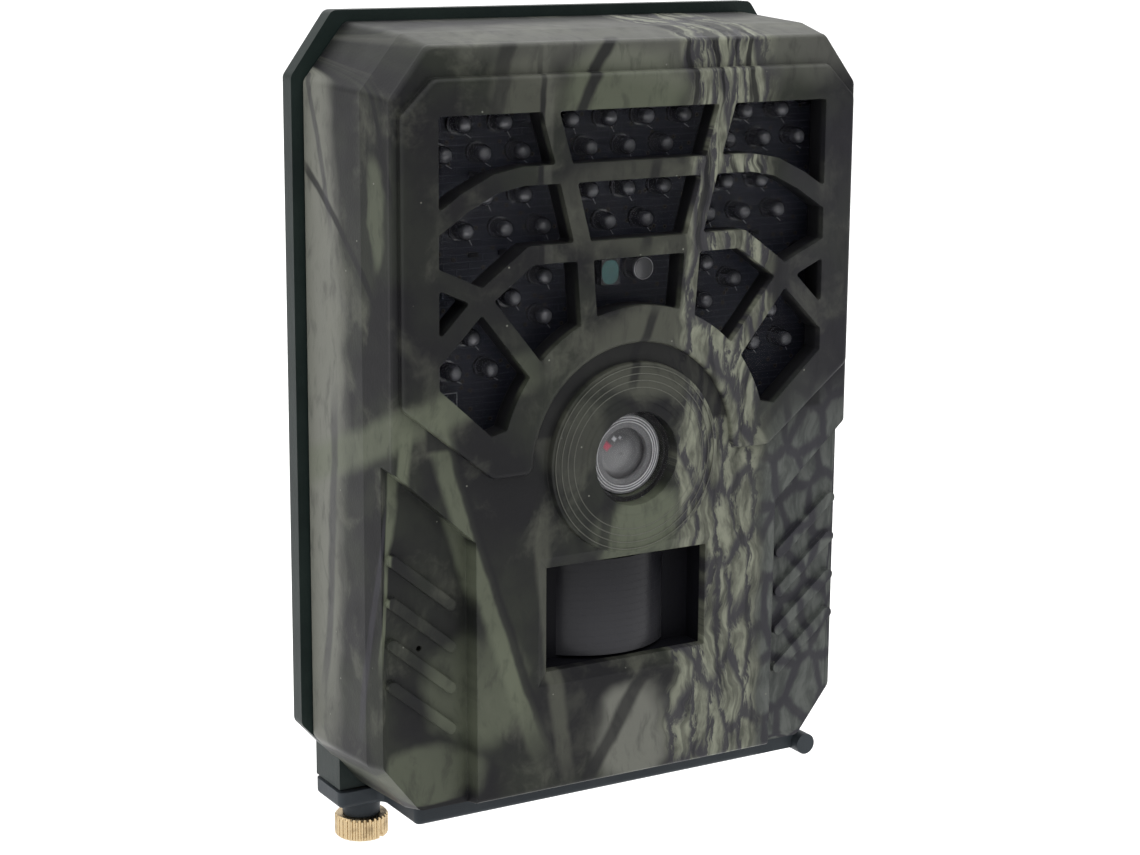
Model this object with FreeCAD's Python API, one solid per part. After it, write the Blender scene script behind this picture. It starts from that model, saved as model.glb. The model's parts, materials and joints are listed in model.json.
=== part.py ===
"""Trail camera: camouflage front housing on a dark rear cover, with a bottom service door.

Millimetres.  X is the camera's right-hand side as seen from the front, the front looks
along -Y and +Z is up.  The origin is the mouth of the tripod socket in the rear face.
Depths are counted back from the front panel, so a depth d lies at y = d - body_depth.
"""
import os
import math
import FreeCAD
import Part

V = FreeCAD.Vector

# ---- overall sizes ---------------------------------------------------------------------
body_depth = 41.0            # front panel to rear face
half_width = 46.1            # housing at its rear edge
half_height = 64.2
draft = 0.9                  # housing narrows by this from the rear edge to the bevel
corner_x = 7.4               # corner chamfers of the housing
corner_z = 9.2
corner_round = 1.6
wall = 2.2
clearance = 0.3              # between pieces that are only laid side by side
fit_gap = 0.05               # between a pin and its hole

# ---- front face depths -----------------------------------------------------------------
shoulder_depth = 1.6         # shoulder and centre column
recess_depth = 5.2           # floor of the two ribbed side recesses
rib_depth = 4.1              # top of the ribs
grille_depth = 4.4           # inner face behind the grille
bevel_depth = 9.6            # where the front bevel meets the side walls
bevel_inset = 1.7
housing_back = 28.3

# ---- branch grille ---------------------------------------------------------------------
panel_half = 42.6
panel_top = 57.0
panel_corner = 5.5
panel_foot = 26.6            # where the panel's sloping lower edge reaches its lowest point
panel_foot_z = -7.0
panel_flank_z = 5.8
opening_half = 36.5
opening_top = 51.2
opening_flank_z = 8.6
opening_foot = 27.2
opening_foot_z = 0.2
branch_width = 3.0
upright_branch = [(17.1, 52.5), (13.7, 41.3), (10.3, 28.7), (9.2, 15.0)]
upper_arch = [(0.0, 41.3), (21.5, 41.3), (26.5, 40.4), (31.8, 37.8), (38.0, 33.7)]
lower_arch = [(0.0, 28.7), (20.1, 28.7), (28.2, 22.8), (38.0, 12.9)]
cross_branch = [(38.0, 26.7), (29.4, 22.8), (18.2, 9.0)]
panel_round = 0.9
opening_round = 0.45

# ---- ribbed side recesses --------------------------------------------------------------
recess_x = 29.2              # inner edge of a recess at its upper corner
recess_low_x = 28.8          # and at the bottom
recess_corner_z = -17.4      # upper corner, from which the upper edge rises outwards
recess_slope = 0.9
recess_reach = 60.0          # both open edges run out past the housing
pad_margin = 2.2             # wall around a recess, inside the housing
rib_first = (42.8, -19.2)
rib_run = (-10.4, -8.6)
rib_pitch = 7.0
rib_count = 4
rib_width = 1.9
mic_place = (-37.8, -34.6)
mic_hole = 0.45
mic_radius = 3.0

# ---- lens ------------------------------------------------------------------------------
lens_z = -6.4
boss_steps = [(16.0, 0.35), (14.6, 0.27), (13.2, 0.21), (11.8, 0.16), (10.4, 0.10), (9.4, 0.0)]
ring_inner = 19.3            # edge of the panel around the lens boss
ring_outer = 25.5            # edge of the grille openings around the lens
window_radius = 7.85
window_depth = 1.5
window_thick = 1.0
gasket_thick = 0.4
window_ledge = 0.85
barrel_head_radius = 6.7
barrel_radius = 6.0
glass_radius = 5.3
holder_half = 8.5
filter_half = 3.4
filter_travel = 3.6
filter_room = 0.5            # left free at each end of the filter's slot

# ---- movement detector -----------------------------------------------------------------
pir_z = -32.5
pir_half_width = 15.6
pir_half_height = 8.9
pir_flare = 2.0
pir_lens_half = 10.5
pir_lens_bulge = 4.4
pir_seat_depth = 8.2
pir_lens_wall = 0.8

# ---- lights ----------------------------------------------------------------------------
led_radius = 1.5
led_tip_depth = 5.6
led_height = 4.2
led_shift = 1.8              # the light array sits a little to one side
led_rows = [(49.1, (3.6, 10.8, 23.0, 30.3)), (44.4, (0.0, 7.3, 19.7, 26.8, 33.8)),
            (37.5, (0.0, 7.0, 19.4, 26.5)), (32.2, (3.6, 15.9, 22.9, 30.0)),
            (24.0, (15.6,)), (20.9, (21.4,)), (17.5, (15.6,)), (15.0, (28.9,)),
            (9.6, (25.5, 32.2))]
sensor_z = 24.0
status_led_x = 4.9
resistor_rows = (40.9, 28.0)
window_sheet = 0.8
board_thick = 1.6
led_board_half = 40.4
led_board_top = 57.5

# ---- rear cover ------------------------------------------------------------------------
seal_thick = 0.7
flange_thick = 3.2
flange_half = 47.9
flange_top = 66.0
flange_low_x = 10.4
flange_low_z = 11.6
pan_wall = 2.4
pan_inset = 3.2
pan_taper = 4.2
well_wall = 1.5
spigot_length = 4.5
spigot_wall = 1.4
screw_places = [(39.0, 53.0), (40.0, -2.0), (39.3, -47.2)]
screw_radius = 1.3
screw_head_radius = 2.6
screw_head = 1.9
screw_bite = 8.0
boss_wall = 1.6

# ---- strap rails and tripod socket -----------------------------------------------------
rail_inner = 24.0
rail_outer = 34.0
rail_half_height = 29.0
strap_half = 19.0
strap_gap = 4.6
rail_thick = 2.5
tooth_count = 9
tooth_width = 3.2
tripod_bore = 2.6
tripod_outer = 4.6
tripod_length = 6.0
tripod_cap = 0.9             # wall behind the blind socket

# ---- port frame and service door -------------------------------------------------------
frame_left = -34.0
frame_right = 37.2
frame_front = 12.9
frame_back = 35.0
frame_wall = 1.6
frame_height = 4.7
frame_bottom = -64.7
door_gap = 0.4
door_thick = 2.9
door_lip = 1.0
ear_left = -42.6
ear_front = 25.6
block_height = 11.0
hinge_x = 43.3
hinge_radius = 1.9
hinge_pin_radius = 0.9
knuckle_edges = (10.0, 16.0, 21.0, 28.0)

# ---- thumb screw -----------------------------------------------------------------------
thumb_x = -36.9
thumb_depth = 29.2
neck_radius = 3.25
neck_length = 2.7
nut_radius = 4.6
nut_height = 3.9
flute_count = 30
flute_radius = 0.32
shank_radius = 1.5
thread_clearance = 0.5
shank_bite = 3.2
insert_wall = 0.9
clip_radius = 2.6
clip_recess = 0.9
clip_thick = 0.6

# ---- batteries and boards --------------------------------------------------------------
cell_radius = 7.1
cell_length = 49.2
cell_gap = 0.2               # around each cell in its groove
cell_wall = 0.3              # least wall between two grooves
cell_pitch = 2 * (cell_radius + cell_gap) + cell_wall
tray_wall = 0.6
tray_right = 13.75           # the ports stand to the right of this
tray_centre = tray_right - tray_wall - 1.5 * cell_pitch
board_depth = 14.0
board_half = 35.6
board_top = 12.0
board_bottom = -59.0
post_places = [(-31.0, -12.0), (31.0, -12.0), (-31.0, -52.0), (12.0, -52.0)]
screw_head_room = 1.5        # between the main board and the battery tray
led_post_places = [(38.2, 24.0), (18.0, 55.0)]
post_radius = 2.4
small_screw_radius = 0.9
small_head_radius = 1.9
processor_place = (-20.0, -20.0)
memory_chip_place = (-23.0, -46.0)
capacitor_places = [(-25.0, -30.0), (-25.0, -37.0), (24.5, -33.0)]
tray_low = -60.4
spring_length = 4.0
contact_thick = 0.4

# ---- ports -----------------------------------------------------------------------------
port_rear = board_depth + board_thick
port_board_depth = frame_back - frame_wall - 1.5
tray_front = port_rear + screw_head_room
port_board_sides = (14.4, 34.0)
port_board_high = 22.0
usb_x = 18.9
jack_x = 19.3
card_x = 29.6
card_width = 11.0
switch_x = 29.2
switch_travel = 2.0


# ---- helpers ---------------------------------------------------------------------------
def at(depth):
    """The y of a depth behind the front panel."""
    return depth - body_depth


def rounded_wire(points, y, radius):
    """A closed wire in the XZ plane at y, with every corner rounded."""
    count = len(points)
    starts, ends, middles = [], [], []
    for i, (x, z) in enumerate(points):
        here = V(x, y, z)
        before = V(points[i - 1][0], y, points[i - 1][1]) - here
        after = V(points[(i + 1) % count][0], y, points[(i + 1) % count][1]) - here
        before.normalize()
        after.normalize()
        half = before.getAngle(after) / 2
        reach = radius / math.tan(half)
        inward = before + after
        inward.normalize()
        centre = here + inward * (radius / math.sin(half))
        starts.append(here + before * reach)
        ends.append(here + after * reach)
        middles.append(centre - inward * radius)
    edges = []
    for i in range(count):
        edges.append(Part.Arc(starts[i], middles[i], ends[i]).toShape())
        edges.append(Part.makeLine(ends[i], starts[(i + 1) % count]))
    return Part.Wire(edges)


def polygon_wire(points, y):
    corners = [V(x, y, z) for x, z in points]
    return Part.makePolygon(corners + corners[:1])


def prism(points, front, back, radius=0.0):
    """A solid between two depths with the outline of points in X and Z."""
    if radius:
        wire = rounded_wire(points, at(front), radius)
    else:
        wire = polygon_wire(points, at(front))
    return Part.Face(wire).extrude(V(0, back - front, 0))


def box(x0, x1, front, back, z0, z1):
    """A block from its sides, its two depths and its two heights."""
    return Part.makeBox(x1 - x0, back - front, z1 - z0, V(x0, at(front), z0))


def rod(x, z, radius, front, back):
    """A cylinder along the depth."""
    return Part.makeCylinder(radius, back - front, V(x, at(front), z), V(0, 1, 0))


def post(x, depth, radius, z0, z1):
    """A cylinder along Z."""
    return Part.makeCylinder(radius, z1 - z0, V(x, at(depth), z0), V(0, 0, 1))


def ring(x, z, outer, inner, front, back):
    return rod(x, z, outer, front, back).cut(rod(x, z, inner, front - 1, back + 1))


def fuse(shapes):
    shapes = list(shapes)
    whole = shapes[0]
    if len(shapes) > 1:
        whole = whole.multiFuse(shapes[1:])
    return whole.removeSplitter()


def mirrored(shape):
    return shape.mirror(V(0, 0, 0), V(1, 0, 0))


def both_sides(places):
    """Each place and its mirror image."""
    return [(side * x, z) for x, z in places for side in (-1, 1)]


def bar(points, width, front, back):
    """A bar of one width along a run of points, with round joints."""
    pieces = []
    for (x0, z0), (x1, z1) in zip(points, points[1:]):
        length = math.hypot(x1 - x0, z1 - z0)
        block = Part.makeBox(length, back - front, width, V(0, at(front), -width / 2))
        block.rotate(V(0, 0, 0), V(0, 1, 0), -math.degrees(math.atan2(z1 - z0, x1 - x0)))
        block.translate(V(x0, 0, z0))
        pieces.append(block)
    for x, z in points:
        pieces.append(rod(x, z, width / 2, front, back))
    return fuse(pieces)


def housing_points(inset):
    """The eight corners of the housing's outline, moved in by inset."""
    x = half_width - inset
    z = half_height - inset
    cut_x = corner_x - inset * 0.45
    cut_z = corner_z - inset * 0.45
    return [(-x, z - cut_z), (-x + cut_x, z), (x - cut_x, z), (x, z - cut_z),
            (x, -z + cut_z), (x - cut_x, -z), (-x + cut_x, -z), (-x, -z + cut_z)]


def housing_loft(sections, radius):
    """A tapered block through (depth, inset) sections of the housing's outline."""
    wires = [rounded_wire(housing_points(inset), at(depth), radius) for depth, inset in sections]
    return Part.makeLoft(wires, True, True)


def save(node, shape):
    if isinstance(shape, list):
        shape = Part.makeCompound(shape)
    shape.exportStep(os.path.join("parts", node + ".step"))


# ---- front housing ---------------------------------------------------------------------
def panel_outline():
    return [(-panel_half, panel_top - panel_corner), (-panel_half + panel_corner, panel_top),
            (panel_half - panel_corner, panel_top), (panel_half, panel_top - panel_corner),
            (panel_half, panel_flank_z), (panel_foot, panel_foot_z), (ring_inner - 4, panel_foot_z),
            (0, lens_z + 6), (4 - ring_inner, panel_foot_z), (-panel_foot, panel_foot_z),
            (-panel_half, panel_flank_z)]


def tree_panel():
    """The raised panel that frames the grille, hollowed around the lens."""
    panel = prism(panel_outline(), 0, recess_depth)
    panel = panel.cut(rod(0, lens_z, ring_inner, -1, recess_depth + 1))
    uprights = [edge for edge in panel.Edges if is_upright(edge)]
    panel = panel.makeFillet(corner_round, uprights)
    rim = [edge for edge in panel.Edges if abs(edge.BoundBox.YMax - at(0)) < 1e-6]
    return panel.makeFillet(panel_round, rim)


def is_upright(edge):
    """True for an edge that runs straight back along the depth."""
    return edge.BoundBox.YLength > 1 and max(edge.BoundBox.XLength, edge.BoundBox.ZLength) < 1e-6


def grille_openings():
    """Everything that is cut through the panel between the branches."""
    outline = [(-opening_half, opening_top), (opening_half, opening_top),
               (opening_half, opening_flank_z), (opening_foot, opening_foot_z),
               (ring_outer - 1.5, opening_foot_z + 0.8), (0, lens_z),
               (1.5 - ring_outer, opening_foot_z + 0.8), (-opening_foot, opening_foot_z),
               (-opening_half, opening_flank_z)]
    hole = prism(outline, -1, grille_depth + 1)
    hole = hole.cut(rod(0, lens_z, ring_outer, -2, grille_depth + 2))
    for run in (upright_branch, upper_arch, lower_arch, cross_branch):
        branch = bar(run, branch_width, -2, grille_depth + 2)
        hole = hole.cut(branch)
        hole = hole.cut(mirrored(branch))
    return [round_opening(piece) for piece in hole.Solids]


def round_opening(piece):
    """Soften the corners of one grille opening."""
    uprights = [edge for edge in piece.Edges if is_upright(edge) and is_corner(edge, piece)]
    return piece.makeFillet(opening_round, uprights)


def is_corner(edge, solid):
    """True where the two faces beside an edge meet at a real angle."""
    faces = solid.ancestorsOfType(edge, Part.Face)
    middle = edge.valueAt((edge.FirstParameter + edge.LastParameter) / 2)
    normals = [face.normalAt(*face.Surface.parameter(middle)) for face in faces]
    turn = normals[0].getAngle(normals[1])
    return turn > math.radians(20)


def recess_outline():
    """The ribbed recess on the right, open to the side and to the bottom."""
    return recess_shape(recess_x, recess_low_x, recess_corner_z)


def recess_shape(inner, low_inner, corner):
    """A four-sided shape under a sloping upper edge, running out to the side and below."""
    rise = (recess_reach - inner) * recess_slope
    return [(inner, corner), (recess_reach, corner + rise), (recess_reach, -recess_reach - 20),
            (low_inner, -recess_reach - 20)]


def ribs():
    """The slanting ribs in the right-hand recess."""
    found = []
    for k in range(rib_count):
        x, z = rib_first
        z -= k * rib_pitch
        run = [(x, z), (x + rib_run[0], z + rib_run[1])]
        found.append(bar(run, rib_width, rib_depth, recess_depth + 1))
    return found


def lens_boss():
    """The round boss around the lens, turned with shallow steps."""
    profile = [V(0, at(shoulder_depth + 1), 0), V(boss_steps[0][0] + 0.25, at(shoulder_depth + 1), 0),
               V(boss_steps[0][0], at(boss_steps[0][1]), 0)]
    for (radius, depth), (_, before) in zip(boss_steps[1:], boss_steps):
        profile.append(V(radius + 0.15, at(before), 0))
        profile.append(V(radius, at(depth), 0))
    profile.append(V(0, at(0), 0))
    face = Part.Face(Part.makePolygon(profile + profile[:1]))
    boss = face.revolve(V(0, 0, 0), V(0, 1, 0), 360)
    boss.translate(V(0, 0, lens_z))
    return boss


def housing_block():
    """The outer block of the front housing with its bevel and soft front edge."""
    steps = 4
    soft = 1.4
    sections = [(housing_back, 0.0), (bevel_depth, draft),
                (shoulder_depth + soft, draft + bevel_inset * 0.8)]
    for k in range(1, steps + 1):
        angle = math.radians(90 * k / steps)
        depth = shoulder_depth + soft * (1 - math.sin(angle))
        inset = draft + bevel_inset * 0.8 + soft * (1 - math.cos(angle)) * 0.6
        sections.append((depth, inset))
    return housing_loft(sections, corner_round)


def cavity():
    """The hollow of the front housing."""
    inner = housing_loft([(housing_back + 1, wall), (bevel_depth, draft + wall),
                          (grille_depth, draft + bevel_inset + wall)], corner_round)
    pad = prism(recess_shape(recess_x - pad_margin, recess_low_x - pad_margin,
                             recess_corner_z + pad_margin),
                shoulder_depth, recess_depth + wall)
    return inner.cut(pad).cut(mirrored(pad))


def frame_notch(gap):
    """The space that the port frame and its two end blocks take out of the housing."""
    low = frame_bottom - 3
    top = frame_bottom + block_height
    middle = box(frame_left - gap, frame_right + gap, frame_front - gap, housing_back + 1,
                 low, frame_bottom + frame_height + gap)
    ear = box(ear_left - gap, frame_left + 1, ear_front - gap, housing_back + 1, low, top + gap)
    hinge = box(frame_right - 1, hinge_x + hinge_radius + gap, knuckle_edges[1] - gap,
                housing_back + 1, low, top - 3.0 + gap)
    return [middle, ear, hinge]


def post_foot(x, z):
    """The depth at which a post starts, inside whichever wall is in front of it."""
    in_recess = abs(x) > recess_x and z < recess_corner_z
    return recess_depth + 1.0 if in_recess else grille_depth - 1.0


def front_housing():
    body = housing_block()
    recess = prism(recess_outline(), -2, recess_depth)
    body = body.cut(recess).cut(mirrored(recess))
    rib_shapes = ribs()
    body = fuse([body, tree_panel(), lens_boss()] + rib_shapes + [mirrored(rib) for rib in rib_shapes])
    body = body.cut(cavity())
    posts = []
    for x, z in both_sides(screw_places):
        posts.append(rod(x, z, screw_radius + boss_wall, post_foot(x, z), housing_back))
    for x, z in post_places:
        posts.append(rod(x, z, post_radius, post_foot(x, z), board_depth))
    for x, z in both_sides(led_post_places):
        posts.append(rod(x, z, post_radius - 0.4, grille_depth - 1, led_board_depth()))
    posts.append(rod(0, lens_z, window_radius + 1.8, grille_depth - 1, grille_depth + 2.4))
    body = fuse([body] + posts)
    cuts = grille_openings()
    cuts.append(rod(0, lens_z, window_radius + fit_gap, -1, gasket_back()))
    cuts.append(rod(0, lens_z, window_radius - window_ledge, -1, grille_depth + 4))
    cuts.append(pir_opening())
    cuts.append(rod(mic_place[0], mic_place[1], mic_hole, 0, recess_depth + wall + 1))
    for x, z in both_sides(screw_places):
        cuts.append(rod(x, z, screw_radius, housing_back - screw_bite, housing_back + 1))
    for x, z in post_places:
        cuts.append(rod(x, z, small_screw_radius, board_depth - 5, board_depth + 1))
    for x, z in both_sides(led_post_places):
        cuts.append(rod(x, z, small_screw_radius, led_board_depth() - 3.4, led_board_depth() + 1))
    cuts += frame_notch(clearance)
    return body.cut(cuts)


def led_board_depth():
    return led_tip_depth + led_height


def gasket_back():
    return window_depth + window_thick + gasket_thick


def pir_opening():
    """The flared rectangular mouth in front of the movement detector."""
    through = box(-pir_half_width, pir_half_width, 0, grille_depth + 6,
                  pir_z - pir_half_height, pir_z + pir_half_height)
    wires = []
    for depth, flare in ((shoulder_depth - 0.4, pir_flare * 1.4), (shoulder_depth + 1.0, 0.0)):
        x = pir_half_width + flare
        z = pir_half_height + flare
        wires.append(polygon_wire([(-x, pir_z - z), (x, pir_z - z), (x, pir_z + z), (-x, pir_z + z)],
                                  at(depth)))
    flare = Part.makeLoft(wires, True, True)
    return through.fuse(flare)


# ---- rear cover ------------------------------------------------------------------------
def flange_front():
    return housing_back + seal_thick


def flange_points():
    x = flange_half
    top = flange_top
    low = frame_bottom
    shoulder = top - corner_z - 1.1
    return [(-x, shoulder), (-x + corner_x, top), (x - corner_x, top), (x, shoulder),
            (x, low + flange_low_z), (x - flange_low_x, low), (-x + flange_low_x, low),
            (-x, low + flange_low_z)]


def pan(front, back, inset, taper):
    """A tapered block for the bulge behind the flange."""
    wires = [rounded_wire(housing_points(inset), at(front), corner_round + 1),
             rounded_wire(housing_points(inset + taper), at(back), corner_round + 1)]
    return Part.makeLoft(wires, True, True)


def strap_rail():
    """A toothed rail with a slot behind it for the strap."""
    back = body_depth + strap_gap + rail_thick
    rail = box(rail_inner, rail_outer, body_depth - 1, back, -rail_half_height, rail_half_height)
    uprights = [edge for edge in rail.Edges if edge.BoundBox.XLength > 1
                and edge.BoundBox.YMin > at(back) - 0.1]
    rail = rail.makeFillet(1.8, uprights)
    rail = rail.cut(box(rail_inner - 1, rail_outer + 1, body_depth, body_depth + strap_gap,
                        -strap_half, strap_half))
    teeth = []
    pitch = 2 * strap_half / tooth_count
    start = rail_outer - tooth_width
    for k in range(tooth_count):
        z = -strap_half + k * pitch
        corners = [V(start, at(back) - 0.2, z), V(start, at(back) - 0.2, z + pitch * 0.8),
                   V(start, at(back) + 1.3, z + pitch * 0.4)]
        tooth = Part.Face(Part.makePolygon(corners + corners[:1]))
        teeth.append(tooth.extrude(V(tooth_width, 0, 0)))
    return fuse([rail] + teeth)


def screw_scallops(grow):
    """The open wells that let a driver reach the cover screws."""
    radius = screw_head_radius + 0.9 + grow
    return [rod(x, z, radius, screw_seat() - grow, body_depth + 10) for x, z in both_sides(screw_places)]


def screw_seat():
    return flange_front() + flange_thick


def port_frame():
    """The wall around the ports, with the screw block and the hinge block at its ends."""
    top = frame_bottom + frame_height
    frame = box(frame_left, frame_right, frame_front, frame_back, frame_bottom, top)
    ear = box(ear_left, frame_left + 1, ear_front, frame_back, frame_bottom, frame_bottom + block_height)
    hinge = box(frame_right - 1, hinge_x + hinge_radius, knuckle_edges[1] + clearance, frame_back,
                frame_bottom + 0.2, frame_bottom + block_height - 3.0)
    return fuse([frame, ear, hinge])


def fixed_knuckles():
    """The two knuckles that hang from the hinge block."""
    found = []
    spans = [(knuckle_edges[1] + clearance, knuckle_edges[2]), (knuckle_edges[3] + clearance, frame_back)]
    for front, back in spans:
        web = box(hinge_x - hinge_radius, hinge_x + hinge_radius, front, back, hinge_z(), frame_bottom + 1)
        found.append(fuse([web, rod(hinge_x, hinge_z(), hinge_radius, front, back)]))
    return found


def hinge_z():
    return frame_bottom - door_gap - door_thick / 2 - 0.25


def rear_cover():
    flange = prism(flange_points(), flange_front(), flange_front() + flange_thick, corner_round)
    bulge = pan(flange_front() + 1, body_depth, pan_inset, pan_taper)
    body = fuse([flange, bulge])
    hollow = pan(flange_front() - 1, body_depth - pan_wall, pan_inset + pan_wall, pan_taper)
    body = body.cut(hollow.cut(screw_scallops(well_wall)))
    outer = prism(housing_points(wall + clearance), flange_front() - spigot_length, flange_front() + 1,
                  corner_round)
    inner = prism(housing_points(wall + clearance + spigot_wall), flange_front() - spigot_length - 1,
                  flange_front() + 2, corner_round)
    spigot = outer.cut(inner)
    reliefs = [rod(x, z, screw_radius + boss_wall + clearance, housing_back - 9, flange_front())
               for x, z in both_sides(screw_places)]
    reliefs.append(box(-half_width, half_width, housing_back - 9, flange_front(),
                       -half_height - 5, frame_bottom + block_height + 2))
    for relief in reliefs:
        spigot = spigot.cut(relief)
    tripod = rod(0, 0, tripod_outer + 2.0, body_depth - tripod_length - tripod_cap, body_depth - 0.6)
    frame = port_frame()
    pieces = [body, spigot, frame, tripod] + fixed_knuckles()
    rail = strap_rail()
    body = fuse(pieces + [rail, mirrored(rail)])
    cuts = screw_scallops(0)
    for x, z in both_sides(screw_places):
        cuts.append(rod(x, z, screw_radius + 0.2, flange_front() - 1, body_depth))
    cuts.append(rod(0, 0, tripod_outer, body_depth - tripod_length, body_depth + 1))
    cuts.append(box(frame_left + frame_wall, frame_right - frame_wall, frame_front + frame_wall,
                    frame_back - frame_wall, frame_bottom - 5, frame_bottom + block_height + 1))
    cuts.append(post(thumb_x, thumb_depth, shank_radius + thread_clearance + insert_wall,
                     frame_bottom - 1, frame_bottom + insert_length()))
    cuts.append(post(thumb_x, thumb_depth, shank_radius + thread_clearance,
                     frame_bottom, frame_bottom + block_height - 1))
    cuts.append(rod(hinge_x, hinge_z(), hinge_pin_radius, knuckle_edges[0], frame_back + 1))
    return body.cut(cuts)


def insert_length():
    return shank_bite + 2.0


def threaded_insert():
    outer = shank_radius + thread_clearance + insert_wall
    sleeve = post(thumb_x, thumb_depth, outer, frame_bottom, frame_bottom + insert_length())
    return sleeve.cut(post(thumb_x, thumb_depth, shank_radius + thread_clearance,
                           frame_bottom - 1, frame_bottom + insert_length() + 1))


def tripod_insert():
    return ring(0, 0, tripod_outer, tripod_bore, body_depth - tripod_length, body_depth)


def housing_seal():
    outer = prism(housing_points(0.5), housing_back, flange_front(), corner_round)
    inner = prism(housing_points(wall - 0.2), housing_back - 1, flange_front() + 1, corner_round)
    seal = outer.cut(inner)
    for x, z in both_sides(screw_places):
        seal = seal.cut(rod(x, z, screw_radius + boss_wall + clearance, housing_back - 1,
                            flange_front() + 1))
    notch = [piece.copy() for piece in frame_notch(clearance)]
    for piece in notch:
        seal = seal.cut(piece.fuse(piece.translated(V(0, 3, 0))))
    return seal


def cover_screws():
    found = []
    head = screw_seat()
    for x, z in both_sides(screw_places):
        shank = rod(x, z, screw_radius, housing_back - screw_bite + 0.5, head + 0.2)
        cap = rod(x, z, screw_head_radius, head, head + screw_head)
        found.append(fuse([shank, cap]).cut(cross_slot(x, z, head + screw_head)))
    return found


def cross_slot(x, z, top, size=1.3):
    """The crossed recess in a screw head that faces the rear."""
    one = box(x - size, x + size, top - 1.0, top + 1, z - 0.3, z + 0.3)
    other = box(x - 0.3, x + 0.3, top - 1.0, top + 1, z - size, z + size)
    return one.fuse(other)


# ---- window, lights and their board ----------------------------------------------------
def sheet_points(half, top, low, foot):
    """The outline that the window and the light board share."""
    return [(-half, top), (half, top), (half, low + 5.0), (foot, low), (ring_inner - 2, low),
            (-ring_inner + 2, low), (-foot, low), (-half, low + 5.0)]


def window_sheet_solid():
    front = grille_depth + fit_gap
    sheet = prism(sheet_points(opening_half + 2.4, opening_top + 2.0, -0.8, opening_foot + 2.6),
                  front, front + window_sheet)
    sheet = sheet.cut(rod(0, lens_z, ring_inner + 2.6, 0, 20))
    for x, z in both_sides(screw_places):
        sheet = sheet.cut(rod(x, z, screw_radius + boss_wall + clearance, 0, 20))
    for x, z in both_sides(led_post_places):
        sheet = sheet.cut(rod(x, z, post_radius - 0.4 + clearance, 0, 20))
    return sheet


def led_board():
    front = led_board_depth()
    board = prism(sheet_points(led_board_half, led_board_top, -1.6, opening_foot + 3.0),
                  front, front + board_thick)
    board = board.cut(rod(0, lens_z, ring_inner + 0.6, 0, 30))
    for x, z in both_sides(screw_places):
        board = board.cut(rod(x, z, screw_radius + boss_wall + 2 * clearance, 0, 30))
    for x, z in both_sides(led_post_places):
        board = board.cut(rod(x, z, small_screw_radius + 0.1, 0, 30))
    for side in (-1, 1):
        edge = side * (led_board_half + 1)
        corner = [(edge, led_board_top + 1), (side * 30.0, led_board_top + 1), (edge, led_board_top - 9)]
        board = board.cut(prism(corner, front - 1, front + board_thick + 1))
    return board


def led_places():
    """Every light's place: each row has mirror pairs about the array's own centre."""
    places = []
    for z, offsets in led_rows:
        for offset in offsets:
            for side in ((-1, 1) if offset else (1,)):
                places.append((led_shift + side * offset, z))
    return places


def led(x, z):
    """A round-nosed light standing on its flange."""
    board = led_board_depth()
    nose = led_tip_depth + led_radius
    body = rod(x, z, led_radius, nose, board)
    dome = Part.makeSphere(led_radius, V(x, at(nose), z))
    flange = rod(x, z, led_radius + 0.25, board - 0.7, board)
    return fuse([body, dome, flange])


def led_resistors():
    front = led_board_depth()
    found = []
    for z in resistor_rows:
        for side in (-1, 1):
            for step in range(4):
                x = led_shift + side * (11.0 + 5.4 * step)
                found.append(box(x - 0.8, x + 0.8, front - 0.5, front, z - 0.4, z + 0.4))
    return found


def light_sensor():
    front = led_board_depth()
    return box(led_shift - 5.6, led_shift - 2.2, front - 4.2, front, sensor_z - 2.1, sensor_z + 2.1)


def status_led():
    board = led_board_depth()
    front = board - 3.4
    light = fuse([rod(status_led_x, sensor_z, 2.0, front, board),
                  rod(status_led_x, sensor_z, 2.35, board - 0.8, board)])
    nose = [edge for edge in light.Edges if abs(edge.BoundBox.YMax - at(front)) < 1e-6]
    return light.makeFillet(0.5, nose)


def board_screws(places, seat):
    """Small pan-head screws through a board into posts behind the front wall."""
    found = []
    for x, z in places:
        shank = rod(x, z, small_screw_radius, seat - 3.0, seat + 0.2)
        head = rod(x, z, small_head_radius, seat, seat + 1.3)
        found.append(fuse([shank, head]).cut(cross_slot(x, z, seat + 1.3, 1.0)))
    return found


# ---- lens ------------------------------------------------------------------------------
def lens_window():
    disc = rod(0, lens_z, window_radius, window_depth, window_depth + window_thick)
    rims = [edge for edge in disc.Edges if edge.Closed]
    return disc.makeChamfer(0.2, rims)


def lens_gasket():
    front = window_depth + window_thick
    return ring(0, lens_z, window_radius - 0.1, window_radius - window_ledge, front, front + gasket_thick)


def barrel_front():
    return gasket_back() + 0.8


def lens_barrel():
    front = barrel_front()
    outer = fuse([rod(0, lens_z, barrel_head_radius, front, front + 4.4),
                  rod(0, lens_z, barrel_radius, front + 4.4, holder_front() + 2.6)])
    bore = rod(0, lens_z, glass_radius, front - 1, front + 3.6)
    back_bore = rod(0, lens_z, glass_radius - 1.6, front, holder_front() + 4)
    barrel = outer.cut([bore, back_bore])
    for k in range(3):
        groove = ring(0, lens_z, barrel_head_radius + 1, barrel_head_radius - 0.25,
                      front + 1.0 + 0.9 * k, front + 1.3 + 0.9 * k)
        barrel = barrel.cut(groove)
    return barrel


def lens_retainer():
    front = barrel_front()
    return ring(0, lens_z, glass_radius - fit_gap, glass_radius - 0.9, front + 0.3, front + 1.3)


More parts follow.
